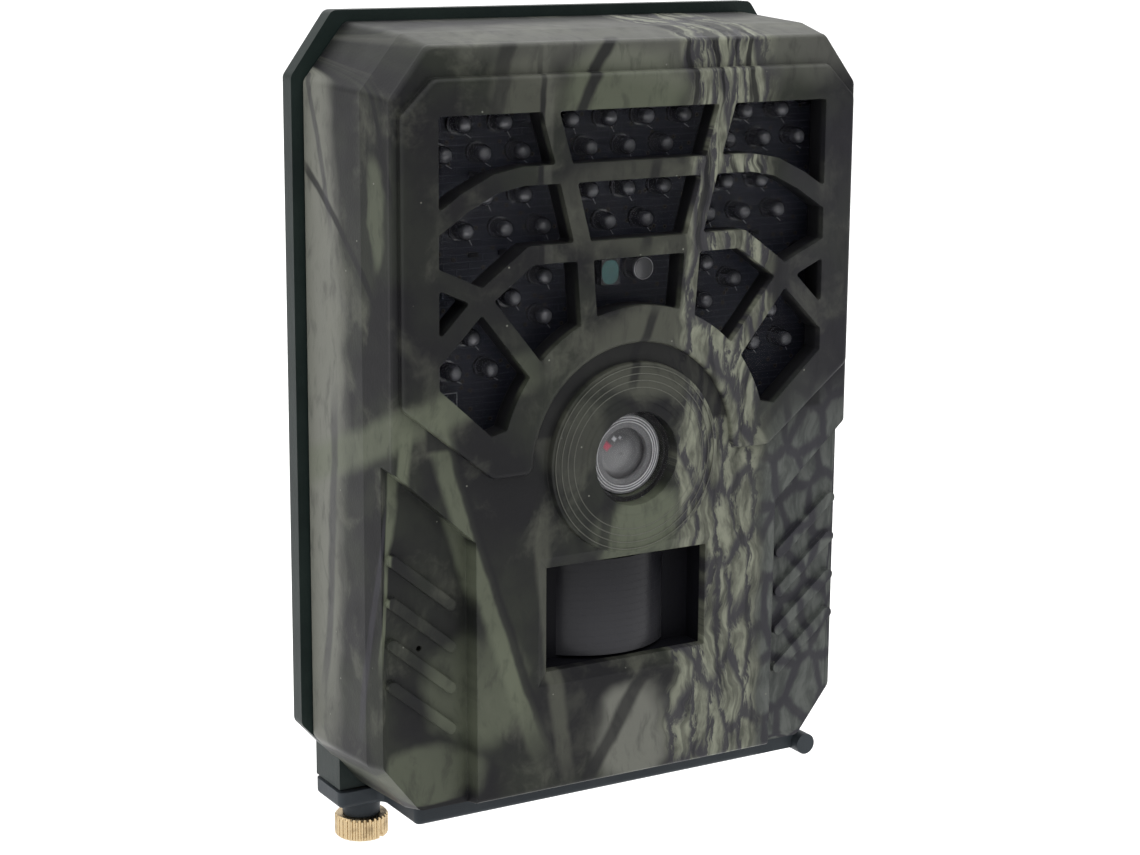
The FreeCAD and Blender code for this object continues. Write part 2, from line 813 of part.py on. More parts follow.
def dome_lens(radius, front, thick, bulge):
    """A lens with a bulging front face and a flat back."""
    edge = at(front + bulge)
    back = at(front + thick)
    half_chord = radius / 2
    sphere_radius = (radius ** 2 + bulge ** 2) / (2 * bulge)
    midway = at(front) + sphere_radius - math.sqrt(sphere_radius ** 2 - half_chord ** 2)
    face_line = Part.Arc(V(0, at(front), 0), V(half_chord, midway, 0), V(radius, edge, 0)).toShape()
    sides = [Part.makeLine(V(radius, edge, 0), V(radius, back, 0)),
             Part.makeLine(V(radius, back, 0), V(0, back, 0)),
             Part.makeLine(V(0, back, 0), V(0, at(front), 0))]
    lens = Part.Face(Part.Wire([face_line] + sides)).revolve(V(0, 0, 0), V(0, 1, 0), 360)
    lens.translate(V(0, 0, lens_z))
    return lens


def front_element():
    return dome_lens(glass_radius - fit_gap, barrel_front() + 1.3, 2.2, 1.2)


def rear_element():
    return dome_lens(glass_radius - 1.6 - fit_gap, barrel_front() + 4.0, 1.6, 0.7)


def holder_front():
    return board_depth - 4.9


def lens_holder():
    """The threaded holder over the image sensor, with a slot for the sliding filter."""
    front = holder_front()
    block = box(-holder_half, holder_half, front, board_depth, lens_z - holder_half, lens_z + holder_half)
    bore = rod(0, lens_z, barrel_radius, front - 1, front + 2.7)
    slot = box(-filter_half - filter_room, filter_half + filter_travel + filter_room, front + 2.7,
               front + 3.5, lens_z - 4.4, lens_z + 4.4)
    well = box(-5.2, 5.2, front + 3.5, board_depth + 1, lens_z - 5.2, lens_z + 5.2)
    through = rod(0, lens_z, 4.4, front, board_depth)
    coil_room = box(-6.6, 6.6, front + 2.5, board_depth + 1, lens_z + 5.6, lens_z + 7.6)
    return block.cut([bore, slot, well, through, coil_room])


def ir_cut_filter():
    front = holder_front() + 2.85
    return box(-filter_half, filter_half, front, front + 0.5, lens_z - 4.2, lens_z + 4.2)


def filter_coil():
    return box(-5.8, 5.8, holder_front() + 3.2, board_depth, lens_z + 5.9, lens_z + 7.3)


def image_sensor():
    return box(-4.6, 4.6, board_depth - 0.9, board_depth, lens_z - 4.6, lens_z + 4.6)


# ---- movement detector -----------------------------------------------------------------
def pir_lens():
    """A thin cylindrical window that bulges forwards about a vertical axis."""
    half = pir_lens_half
    high = pir_half_height - 0.6
    low = pir_z - high

    def bow(inset):
        ends = half - inset
        front = pir_seat_depth - pir_lens_bulge + inset
        left = V(-ends, at(pir_seat_depth), low)
        right = V(ends, at(pir_seat_depth), low)
        arc = Part.Arc(left, V(0, at(front), low), right)
        face = Part.Face(Part.Wire([arc.toShape(), Part.makeLine(right, left)]))
        return face.extrude(V(0, 0, 2 * high))

    return bow(0).cut(bow(pir_lens_wall))


def pir_frame():
    x = pir_half_width + 1.8
    z = pir_half_height + 1.8
    outer = box(-x, x, grille_depth + fit_gap, pir_seat_depth + 1.4, pir_z - z, pir_z + z)
    recess = box(-pir_half_width, pir_half_width, grille_depth - 1, pir_seat_depth,
                 pir_z - pir_half_height, pir_z + pir_half_height)
    hole = box(-pir_lens_half + 1.6, pir_lens_half - 1.6, 0, pir_seat_depth + 3,
               pir_z - pir_half_height + 1.4, pir_z + pir_half_height - 1.4)
    return outer.cut([recess, hole])


def pir_sensor():
    can = rod(0, pir_z, 4.1, board_depth - 3.8, board_depth)
    base = rod(0, pir_z, 4.6, board_depth - 0.6, board_depth)
    window = box(-2.0, 2.0, board_depth - 4.5, board_depth - 3.6, pir_z - 1.5, pir_z + 1.5)
    return fuse([can, base]).cut(window)


def pir_filter():
    return box(-1.95, 1.95, board_depth - 3.8, board_depth - 3.6, pir_z - 1.45, pir_z + 1.45)


# ---- main board ------------------------------------------------------------------------
def main_board():
    board = box(-board_half, board_half, board_depth, board_depth + board_thick, board_bottom, board_top)
    holes = [rod(x, z, small_screw_radius + 0.1, board_depth - 1, board_depth + 3)
             for x, z in post_places]
    return board.cut(holes)


def chip(place, width, height, thick):
    """A flat package on the front of the main board."""
    x, z = place
    return box(x - width / 2, x + width / 2, board_depth - thick, board_depth,
               z - height / 2, z + height / 2)


def board_capacitors():
    return [rod(x, z, 2.5, board_depth - 4.2, board_depth) for x, z in capacitor_places]


def power_coils():
    return [chip((26.0, -42.0), 6.0, 6.0, 2.8), chip((24.0, -21.0), 5.0, 5.0, 2.4)]


def board_header():
    return box(22.0, 32.0, led_board_depth() + board_thick, board_depth, 5.0, 7.6)


def microphone():
    x, z = mic_place
    front = recess_depth + wall + 0.1
    return rod(x, z, mic_radius, front, front + 2.6)


# ---- ports -----------------------------------------------------------------------------
def usb_port():
    shell = box(usb_x - 3.9, usb_x + 3.9, port_rear, port_rear + 3.9, board_bottom - 0.6,
                board_bottom + 8.4)
    mouth = box(usb_x - 3.4, usb_x + 3.4, port_rear + 0.45, port_rear + 3.45, board_bottom - 2,
                board_bottom + 6)
    tongue = box(usb_x - 2.4, usb_x + 2.4, port_rear + 1.5, port_rear + 2.4, board_bottom - 0.2,
                 board_bottom + 6.4)
    return fuse([shell.cut(mouth), tongue])


def card_slot():
    x0 = card_x - card_width / 2 - 0.9
    x1 = card_x + card_width / 2 + 0.9
    shell = box(x0, x1, port_rear, port_rear + 2.0, board_bottom, board_bottom + 14.5)
    mouth = box(card_x - card_width / 2 - 0.15, card_x + card_width / 2 + 0.15, port_rear + 0.5,
                port_rear + 1.5, board_bottom - 1, board_bottom + 13.6)
    return shell.cut(mouth)


def memory_card():
    z = board_bottom - 1.5
    card = box(card_x - card_width / 2, card_x + card_width / 2, port_rear + 0.6, port_rear + 1.4,
               z, z + 15.0)
    step = box(card_x + card_width / 2 - 1.4, card_x + card_width / 2 + 1, port_rear, port_rear + 3,
               z + 9.0, z + 16)
    return card.cut(step)


def port_board():
    left, right = port_board_sides
    return box(left, right, port_board_depth, port_board_depth + 1.2, board_bottom + 1.0,
               board_bottom + port_board_high)


def dc_jack():
    low = board_bottom
    body = box(jack_x - 4.5, jack_x + 4.5, port_board_depth - 10.2, port_board_depth, low, low + 13.0)
    depth = port_board_depth - 5.2
    bore = post(jack_x, depth, 3.1, low - 1, low + 9.5)
    pin = post(jack_x, depth, 0.8, low + 1.0, low + 10.0)
    return fuse([body.cut(bore), pin])


def mode_switch():
    low = board_bottom
    body = box(switch_x - 5.2, switch_x + 4.6, port_board_depth - 5.6, port_board_depth, low, low + 5.6)
    slot = box(switch_x - switch_travel - 1.3, switch_x + switch_travel + 1.3, port_board_depth - 3.7,
               port_board_depth - 1.9, low - 1, low + 4.0)
    return body.cut(slot)


def switch_slider():
    low = board_bottom
    return box(switch_x - 1.0, switch_x + 1.0, port_board_depth - 3.5, port_board_depth - 2.1,
               low - 2.6, low + 3.6)


# ---- batteries -------------------------------------------------------------------------
def cell_places():
    return [tray_centre + (k - 1) * cell_pitch for k in range(3)]


def tray_depth():
    """The depth of the cells' axes."""
    return tray_front + tray_wall + cell_gap + cell_radius


def battery_tray():
    """An open-fronted tray for three cells, with ribs between them and a finger lip."""
    x0 = tray_centre - 1.5 * cell_pitch - tray_wall
    x1 = tray_centre + 1.5 * cell_pitch + tray_wall
    back = tray_depth() + cell_radius + cell_gap + tray_wall
    high = tray_low + cell_length + spring_length + 5.0
    tray = box(x0, x1, tray_front, back, tray_low, high)
    for x in cell_places():
        groove = post(x, tray_depth(), cell_radius + cell_gap, tray_low + 1.4, high - 1.4)
        slot = box(x - cell_radius + 0.6, x + cell_radius - 0.6, tray_front - 1, tray_depth(),
                   tray_low + 1.4, high - 1.4)
        tray = tray.cut(groove.fuse(slot))
    return tray


def battery_cell(x, up):
    """One cell with its raised contact at the top or at the bottom."""
    low = tray_low + 1.4 + contact_thick
    if up:
        low += spring_length
    can = post(x, tray_depth(), cell_radius, low, low + cell_length)
    rims = [edge for edge in can.Edges if edge.Closed]
    can = can.makeFillet(0.7, rims)
    if up:
        nub = post(x, tray_depth(), 2.7, low + cell_length, low + cell_length + 1.0)
    else:
        can.translate(V(0, 0, 1.0))
        nub = post(x, tray_depth(), 2.7, low, low + 1.1)
    return fuse([can, nub])


def contact_springs():
    """The coiled contacts, each as the cone that its turns fill."""
    found = []
    low = tray_low + 1.4 + contact_thick
    for k, x in enumerate(cell_places()):
        foot = low
        if k % 2:
            foot = low + 1.0 + cell_length
        start = V(x, at(tray_depth()), foot)
        low_radius, high_radius = (4.2, 2.6) if k % 2 == 0 else (2.6, 4.2)
        cone = Part.makeCone(low_radius, high_radius, spring_length, start, V(0, 0, 1))
        inner = Part.makeCone(low_radius - 0.7, high_radius - 0.7, spring_length, start, V(0, 0, 1))
        found.append(cone.cut(inner))
    return found


def contact_plates():
    found = []
    low = tray_low + 1.4
    high = low + contact_thick + spring_length + cell_length + 1.0
    front = tray_depth() - 4.6
    back = tray_depth() + 4.6
    for x in cell_places():
        for z in (low, high):
            found.append(box(x - 4.6, x + 4.6, front, back, z, z + contact_thick))
    return found


# ---- service door ----------------------------------------------------------------------
def door_top():
    return frame_bottom - door_gap


def door_bottom():
    return door_top() - door_thick


def door_plate():
    """The flat of the door in plan: the main plate and the ear that takes the screw."""
    points = [(frame_left - door_lip, frame_front - door_lip), (frame_right, frame_front - door_lip),
              (frame_right, frame_back), (ear_left - 0.3, frame_back), (ear_left - 0.3, ear_front - 0.8),
              (frame_left - door_lip, ear_front - 0.8)]
    corners = [V(x, at(depth), door_bottom()) for x, depth in points]
    plate = Part.Face(Part.makePolygon(corners + corners[:1])).extrude(V(0, 0, door_thick))
    uprights = [edge for edge in plate.Edges if edge.BoundBox.ZLength > 1]
    plate = plate.makeFillet(1.2, uprights)
    rim = [edge for edge in plate.Edges if edge.BoundBox.ZMax < door_bottom() + 1e-6]
    return plate.makeFillet(0.8, rim)


def service_door():
    parts = [door_plate()]
    spans = [(knuckle_edges[0], knuckle_edges[1]), (knuckle_edges[2] + clearance, knuckle_edges[3])]
    for front, back in spans:
        start = max(front, frame_front - door_lip)
        arm = box(frame_right - 3, hinge_x, start, back, door_bottom() + 0.3, door_top() - 0.1)
        parts.append(arm)
        parts.append(rod(hinge_x, hinge_z(), hinge_radius, front, back))
    parts.append(post(thumb_x, thumb_depth, neck_radius, door_bottom() - neck_length, door_bottom() + 1))
    door = fuse(parts)
    above = door_top() + 1
    cuts = [rod(hinge_x, hinge_z(), hinge_pin_radius + fit_gap, knuckle_edges[0] + 1.0, frame_back),
            post(thumb_x, thumb_depth, shank_radius + fit_gap, door_bottom() - neck_length - 1, above),
            post(thumb_x, thumb_depth, clip_radius + fit_gap, door_top() - clip_recess, above)]
    return door.cut(cuts)


def hinge_pin():
    return rod(hinge_x, hinge_z(), hinge_pin_radius, knuckle_edges[0] + 1.2, frame_back)


def door_seal():
    """The flat gasket on the door around the port frame's mouth."""
    low = door_top()
    high = frame_bottom - 0.05
    edge = 0.1
    wide = frame_wall + edge
    outer = box(frame_left + edge, frame_right - edge, frame_front + edge, frame_back - edge, low, high)
    inner = box(frame_left + wide, frame_right - wide, frame_front + wide, frame_back - wide,
                low - 1, high + 1)
    return outer.cut(inner)


def thumb_screw():
    """A fluted, slotted nut head with its shank."""
    top = door_bottom() - neck_length - fit_gap
    head = post(thumb_x, thumb_depth, nut_radius, top - nut_height, top)
    rims = [edge for edge in head.Edges if edge.Closed]
    head = head.makeChamfer(0.35, rims)
    shank = post(thumb_x, thumb_depth, shank_radius, top - 1, frame_bottom + shank_bite)
    screw = fuse([head, shank])
    cuts = []
    for k in range(flute_count):
        angle = 2 * math.pi * k / flute_count
        cuts.append(Part.makeCylinder(flute_radius, nut_height + 2,
                                      V(thumb_x + nut_radius * math.cos(angle),
                                        at(thumb_depth) + nut_radius * math.sin(angle),
                                        top - nut_height - 1), V(0, 0, 1)))
    slot = Part.makeBox(2 * nut_radius + 2, 0.9, 1.1, V(-nut_radius - 1, -0.45, 0))
    slot.rotate(V(0, 0, 0), V(0, 0, 1), -64)
    slot.translate(V(thumb_x, at(thumb_depth), top - nut_height - 0.1))
    cuts.append(slot)
    cuts.append(clip_shape(fit_gap, -0.25))
    return screw.cut(cuts)


def clip_shape(grow, inner_grow):
    """The clip as a whole ring, grown all round to cut its groove."""
    low = door_top() - clip_recess + 0.1 - grow
    outer = post(thumb_x, thumb_depth, clip_radius - 2 * fit_gap + grow, low,
                 low + clip_thick + 2 * grow)
    return outer.cut(post(thumb_x, thumb_depth, shank_radius + inner_grow, low - 1, low + 3))


def retaining_clip():
    """The split ring that keeps the screw in the door."""
    ring_shape = clip_shape(0.0, -0.25)
    mouth = Part.makeBox(clip_radius + 1, 1.4, 3, V(thumb_x, at(thumb_depth) - 0.7, door_top() - 2))
    return ring_shape.cut(mouth)


# ---- build -----------------------------------------------------------------------------
def build():
    os.makedirs("parts", exist_ok=True)
    save("front_housing", front_housing())
    save("rear_cover", rear_cover())
    save("housing_seal", housing_seal())
    save("cover_screws", cover_screws())
    save("tripod_insert", tripod_insert())
    save("ir_window", window_sheet_solid())
    save("led_board", led_board())
    save("ir_leds", [led(x, z) for x, z in led_places()])
    save("led_resistors", led_resistors())
    save("light_sensor", light_sensor())
    save("status_led", status_led())
    led_seat = led_board_depth() + board_thick
    save("led_board_screws", board_screws(both_sides(led_post_places), led_seat))
    save("lens_window", lens_window())
    save("lens_gasket", lens_gasket())
    save("lens_barrel", lens_barrel())
    save("lens_retainer", lens_retainer())
    save("lens_front_element", front_element())
    save("lens_rear_element", rear_element())
    save("lens_holder", lens_holder())
    save("ir_cut_filter", ir_cut_filter())
    save("filter_coil", filter_coil())
    save("image_sensor", image_sensor())
    save("pir_lens", pir_lens())
    save("pir_frame", pir_frame())
    save("pir_sensor", pir_sensor())
    save("pir_filter", pir_filter())
    save("main_board", main_board())
    save("main_board_screws", board_screws(post_places, board_depth + board_thick))
    save("processor", chip(processor_place, 11.0, 11.0, 1.2))
    save("memory_chip", chip(memory_chip_place, 10.0, 8.0, 1.1))
    save("board_capacitors", board_capacitors())
    save("power_coils", power_coils())
    save("board_header", board_header())
    save("microphone", microphone())
    save("usb_port", usb_port())
    save("card_slot", card_slot())
    save("memory_card", memory_card())
    save("port_board", port_board())
    save("dc_jack", dc_jack())
    save("mode_switch", mode_switch())
    save("switch_slider", switch_slider())
    save("battery_tray", battery_tray())
    for k, x in enumerate(cell_places()):
        save("battery_cell_%d" % (k + 1), battery_cell(x, k % 2 == 0))
    save("contact_springs", contact_springs())
    save("contact_plates", contact_plates())
    save("service_door", service_door())
    save("door_seal", door_seal())
    save("door_hinge_pin", hinge_pin())
    save("thumb_screw", thumb_screw())
    save("threaded_insert", threaded_insert())
    save("retaining_clip", retaining_clip())


build()
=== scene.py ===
"""Looks of the trail camera: its finishes, its small repeated pieces, the light and the camera."""
import json
import math

import bmesh
import bpy
from mathutils import Euler, Matrix, Vector


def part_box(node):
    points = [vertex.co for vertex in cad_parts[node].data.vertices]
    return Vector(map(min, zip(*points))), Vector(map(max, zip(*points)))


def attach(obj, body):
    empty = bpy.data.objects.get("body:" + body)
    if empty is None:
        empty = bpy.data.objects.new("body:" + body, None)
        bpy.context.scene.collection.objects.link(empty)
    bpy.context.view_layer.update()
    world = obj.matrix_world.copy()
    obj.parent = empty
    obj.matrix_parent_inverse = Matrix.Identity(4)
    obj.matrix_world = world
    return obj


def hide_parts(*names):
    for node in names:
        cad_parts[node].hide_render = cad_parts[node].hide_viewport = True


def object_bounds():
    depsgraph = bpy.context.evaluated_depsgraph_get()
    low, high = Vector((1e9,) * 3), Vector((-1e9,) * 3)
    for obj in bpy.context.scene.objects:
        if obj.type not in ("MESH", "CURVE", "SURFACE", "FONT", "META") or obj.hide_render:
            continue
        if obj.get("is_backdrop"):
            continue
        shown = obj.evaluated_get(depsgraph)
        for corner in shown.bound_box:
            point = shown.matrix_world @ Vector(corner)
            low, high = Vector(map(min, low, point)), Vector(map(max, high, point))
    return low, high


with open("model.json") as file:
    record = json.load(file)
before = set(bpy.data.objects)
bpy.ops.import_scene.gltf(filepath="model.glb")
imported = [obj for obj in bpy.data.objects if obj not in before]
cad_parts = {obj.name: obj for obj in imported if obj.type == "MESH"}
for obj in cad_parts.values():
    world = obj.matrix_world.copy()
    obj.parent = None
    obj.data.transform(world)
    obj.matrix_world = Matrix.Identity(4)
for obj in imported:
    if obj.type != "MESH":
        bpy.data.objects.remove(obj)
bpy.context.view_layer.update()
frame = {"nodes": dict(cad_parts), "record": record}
nodes = frame["nodes"]

# ---- camera -----------------------------------------------------------------------------
# A long lens to the left of the front and a little above it, turned so slightly that the
# uprights lean with it.
housing_low, housing_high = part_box("front_housing")
eye = Vector((-0.2085, housing_low.y - 0.3310, 0.0862))
heading = math.radians(-30.55)
tilt = math.radians(12.12)
lean = math.radians(0.39)

camera_data = bpy.data.cameras.new("camera")
camera_data.lens = 77.1
camera_data.sensor_width = 36.0
camera_data.shift_x = 0.0012
camera_data.shift_y = -0.0181
camera = bpy.data.objects.new("camera", camera_data)
turn = Euler((math.pi / 2 - tilt, 0, heading)).to_matrix() @ Matrix.Rotation(lean, 3, "Z")
camera.matrix_world = Matrix.Translation(eye) @ turn.to_4x4()
bpy.context.scene.collection.objects.link(camera)
bpy.context.scene.camera = camera


# ---- light and floor --------------------------------------------------------------------
# A white room with a large soft panel at the left, one overhead and a weak one in front.
# The floor lies just below the reach of the open door, because a tripod holds the camera.
def soft_panel(name, place, aim, size, power):
    lamp = bpy.data.lights.new(name, "AREA")
    lamp.shape = "RECTANGLE"
    lamp.size, lamp.size_y = size
    lamp.energy = power
    panel = bpy.data.objects.new(name, lamp)
    panel.location = place
    panel.rotation_euler = (Vector(aim) - Vector(place)).to_track_quat("-Z", "Y").to_euler()
    bpy.context.scene.collection.objects.link(panel)


soft_panel("left_panel", (-0.75, 0.05, 0.35), (0, 0, 0), (0.7, 0.9), 1.3)
soft_panel("top_panel", (0.0, -0.35, 0.8), (0, 0, 0), (0.6, 0.4), 2.0)
soft_panel("front_panel", (-0.15, -0.9, 0.5), (0, 0, 0), (0.3, 0.3), 0.5)

room = bpy.data.worlds.new("white_room")
room.use_nodes = True
walls = room.node_tree
facing = walls.nodes.new("ShaderNodeSeparateXYZ")
walls.links.new(walls.nodes.new("ShaderNodeTexCoord").outputs["Generated"], facing.inputs[0])
wall_light = 0.20
for axis, begin, full, strength in (("Z", 0.25, 0.75, 1.7), ("X", -0.2, -0.9, 0.3), ("Y", 0.2, 0.9, 0.6)):
    glow = walls.nodes.new("ShaderNodeMapRange")
    glow.interpolation_type = "SMOOTHSTEP"
    walls.links.new(facing.outputs[axis], glow.inputs["Value"])
    glow.inputs["From Min"].default_value = begin
    glow.inputs["From Max"].default_value = full
    glow.inputs["To Max"].default_value = strength
    added = walls.nodes.new("ShaderNodeMath")
    added.operation = "ADD"
    walls.links.new(glow.outputs["Result"], added.inputs[0])
    if isinstance(wall_light, float):
        added.inputs[1].default_value = wall_light
    else:
        walls.links.new(wall_light, added.inputs[1])
    wall_light = added.outputs[0]
walls.links.new(wall_light, walls.nodes["Background"].inputs["Strength"])
walls.nodes["Background"].inputs["Color"].default_value = (1.0, 1.0, 1.0, 1)
bpy.context.scene.world = room
bpy.context.scene.view_settings.view_transform = "Standard"

hinge = next(joint for joint in frame["record"]["behaviour"]["joints"] if joint["name"] == "door_hinge")
door_low, door_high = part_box("service_door")
door_reach = hinge["pos_m"][0] - door_low.x
floor_z = hinge["pos_m"][2] - door_reach - 0.003
floor_half = 20.0
floor_mesh = bpy.data.meshes.new("floor")
floor_mesh.from_pydata([(x, y, floor_z) for x, y in ((-floor_half, -floor_half), (floor_half, -floor_half),
                                                     (floor_half, floor_half), (-floor_half, floor_half))],
                       [], [(0, 1, 2, 3)])
floor = bpy.data.objects.new("floor", floor_mesh)
bpy.context.scene.collection.objects.link(floor)
floor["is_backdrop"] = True


# ---- front housing ----------------------------------------------------------------------
# A moulded plastic shell under a printed camouflage film: soft stems and leaves over a dark
# ground, cracked bark down the right of the middle, large scales in the right-hand recess.
# Painted light pales the left side and the top; painted shade darkens the openings' deep walls.
def start_material(name):
    """A material, its tree and its shader."""
    finish = bpy.data.materials.new(name)
    finish.use_nodes = True
    return finish, finish.node_tree, finish.node_tree.nodes["Principled BSDF"]


def feed(tree, socket, value):
    """Sets a socket, or links it where the value is another node's output."""
    if isinstance(value, bpy.types.NodeSocket):
        tree.links.new(value, socket)
    else:
        socket.default_value = value


def calc(tree, operation, *values):
    node = tree.nodes.new("ShaderNodeMath")
    node.operation = operation
    for socket, value in zip(node.inputs, values):
        feed(tree, socket, value)
    return node.outputs[0]


def band(tree, value, low, high):
    """0 at low, 1 at high, with a soft step between."""
    node = tree.nodes.new("ShaderNodeMapRange")
    node.interpolation_type = "SMOOTHSTEP"
    feed(tree, node.inputs["Value"], value)
    node.inputs["From Min"].default_value = low
    node.inputs["From Max"].default_value = high
    return node.outputs["Result"]


def blend(tree, factor, under, over):
    """The colour over on top of the colour under."""
    node = tree.nodes.new("ShaderNodeMix")
    node.data_type = "RGBA"
    feed(tree, node.inputs[0], factor)
    for socket, value in ((node.inputs[6], under), (node.inputs[7], over)):
        feed(tree, socket, value if isinstance(value, bpy.types.NodeSocket) else (*value, 1))
    return node.outputs[2]


def millimetres(tree):
    """The point on the object, in millimetres."""
    where = tree.nodes.new("ShaderNodeTexCoord")
    grow = tree.nodes.new("ShaderNodeVectorMath")
    grow.operation = "SCALE"
    grow.inputs["Scale"].default_value = 1000
    tree.links.new(where.outputs["Object"], grow.inputs[0])
    return grow.outputs[0]


def split(tree, point):
    node = tree.nodes.new("ShaderNodeSeparateXYZ")
    tree.links.new(point, node.inputs[0])
    return node.outputs


def join(tree, x, y, z):
    node = tree.nodes.new("ShaderNodeCombineXYZ")
    for socket, value in zip(node.inputs, (x, y, z)):
        feed(tree, socket, value)
    return node.outputs[0]


def cloud(tree, point, scale, detail=3.0, roughness=0.5):
    node = tree.nodes.new("ShaderNodeTexNoise")
    tree.links.new(point, node.inputs["Vector"])
    node.inputs["Scale"].default_value = scale
    node.inputs["Detail"].default_value = detail
    node.inputs["Roughness"].default_value = roughness
    return node.outputs[0]


def cracks(tree, point, jitter=1.0):
    """The distance to the nearest crack between cells."""
    node = tree.nodes.new("ShaderNodeTexVoronoi")
    node.feature = "DISTANCE_TO_EDGE"
    node.voronoi_dimensions = "2D"
    tree.links.new(point, node.inputs["Vector"])
    node.inputs["Scale"].default_value = 1.0
    node.inputs["Randomness"].default_value = jitter
    return node.outputs["Distance"]


def raise_surface(tree, shader, height, distance, strength=1.0, edge_round=0.0):
    """Relief from a height, over edges that are softened by edge_round."""
    node = tree.nodes.new("ShaderNodeBump")
    if edge_round:
        soft = tree.nodes.new("ShaderNodeBevel")
        soft.samples = 4
        soft.inputs["Radius"].default_value = edge_round
        tree.links.new(soft.outputs[0], node.inputs["Normal"])
    node.inputs["Strength"].default_value = strength
    node.inputs["Distance"].default_value = distance
    tree.links.new(height, node.inputs["Height"])
    tree.links.new(node.outputs[0], shader.inputs["Normal"])


dark_bark = (0.006, 0.006, 0.007)
shade_green = (0.015, 0.017, 0.013)
mid_olive = (0.056, 0.058, 0.046)
leaf_green = (0.090, 0.100, 0.070)
pale_grey = (0.135, 0.137, 0.118)
slate_violet = (0.023, 0.022, 0.028)
plate_grey = (0.165, 0.172, 0.132)
scale_shade = (0.042, 0.046, 0.044)
scale_light = (0.082, 0.088, 0.082)

# Each patch: centre across and up, half width and half height, strength, colour.
# The first patch pales the whole left side and the band at (20, 70) pales the top: painted light from the
# upper left. The last darkens the whole right side.
patches = [
    ((-76, 10), (14, 75), 0.85, pale_grey), ((-21, 54), (6, 6), 0.70, mid_olive),
    ((-3, 54), (11, 7), 0.65, leaf_green), ((0, 36), (16, 8), 0.45, mid_olive),
    ((3, 11), (13, 7), 0.80, mid_olive), ((2, -19), (10, 6), 0.80, leaf_green),
    ((-13, -2), (6, 7), 0.45, mid_olive), ((-49, 36), (3, 9), 0.55, leaf_green),
    ((-28, -43), (8, 9), 0.60, leaf_green), ((1, -55), (8, 9), 0.75, pale_grey),
    ((-37, -57), (9, 5), 0.55, leaf_green), ((-22, 2), (4, 6), 0.35, shade_green),
    ((-30, -28), (16, 12), 0.30, shade_green), ((38, 20), (10, 34), 0.35, slate_violet),
    ((-30, 24), (14, 26), 0.45, dark_bark), ((-12, -50), (8, 8), 0.60, dark_bark),
    ((20, 70), (60, 14), 0.40, pale_grey), ((60, 0), (14, 80), 0.30, shade_green),
]
# Each stem: a point on it across and up, its direction in degrees, its bend, half width,
# half length, colour and strength.
stems = [
    ((-16.9, 34), 90, 0.0002, 0.8, 30, pale_grey, 0.15), ((-18.1, 34), 90, 0.0002, 0.5, 30, dark_bark, 0.90),
    ((-43.8, -16), 80, -0.0022, 1.2, 25, leaf_green, 0.85),
    ((-28.4, -24), 108, 0.0010, 1.9, 38, leaf_green, 0.70),
    ((-26.0, -25), 108, 0.0010, 0.9, 34, dark_bark, 0.80), ((-48, 1), 19, 0.0, 3.2, 36, leaf_green, 0.65),
    ((-60, 31), -40, 0.0040, 0.8, 22, dark_bark, 0.90), ((-49, 52), -62, 0.0120, 0.8, 18, dark_bark, 0.90),
    ((-15, -38), 97, 0.0008, 1.5, 26, mid_olive, 0.75), ((-52, -30), 72, 0.0030, 1.0, 24, slate_violet, 0.80),
    ((-66, -20), 84, -0.0020, 1.2, 30, slate_violet, 0.60),
    ((-70, 48), -70, 0.0040, 0.8, 20, slate_violet, 0.60),
    ((-9, 55), 62, 0.0060, 1.1, 13, dark_bark, 0.90), ((-2.5, -53), 57, 0.0, 1.4, 14, dark_bark, 0.80),
    ((2, 36), 80, 0.0040, 1.0, 9, dark_bark, 0.75), ((-25, 56), 74, 0.0, 1.4, 9, dark_bark, 0.60),
    ((1, 12), 70, 0.0080, 0.9, 8, dark_bark, 0.80), ((-6, -17), 84, 0.0, 1.1, 7, dark_bark, 0.70),
]
opening_shade = (0.007, 0.007, 0.008)  # painted shade: the openings' walls, near-black where they run deep
bark_from, bark_to = 9.0, 25.5       # the stretch of bark, across
scale_from = 26.5                    # the large scales lie beyond this, across
side_bend = (42.8, 45.2)             # the film turns round the side's edge between these, across
crown_bend = (61.0, 63.2)            # and over the top's and the bottom's edge between these, up
opening_edge = (38.6, 37.6)          # the windows' field: half its width,
opening_middle = 25.5                # the height of its middle
opening_reach = (27.5, 26.5)         # and half its height


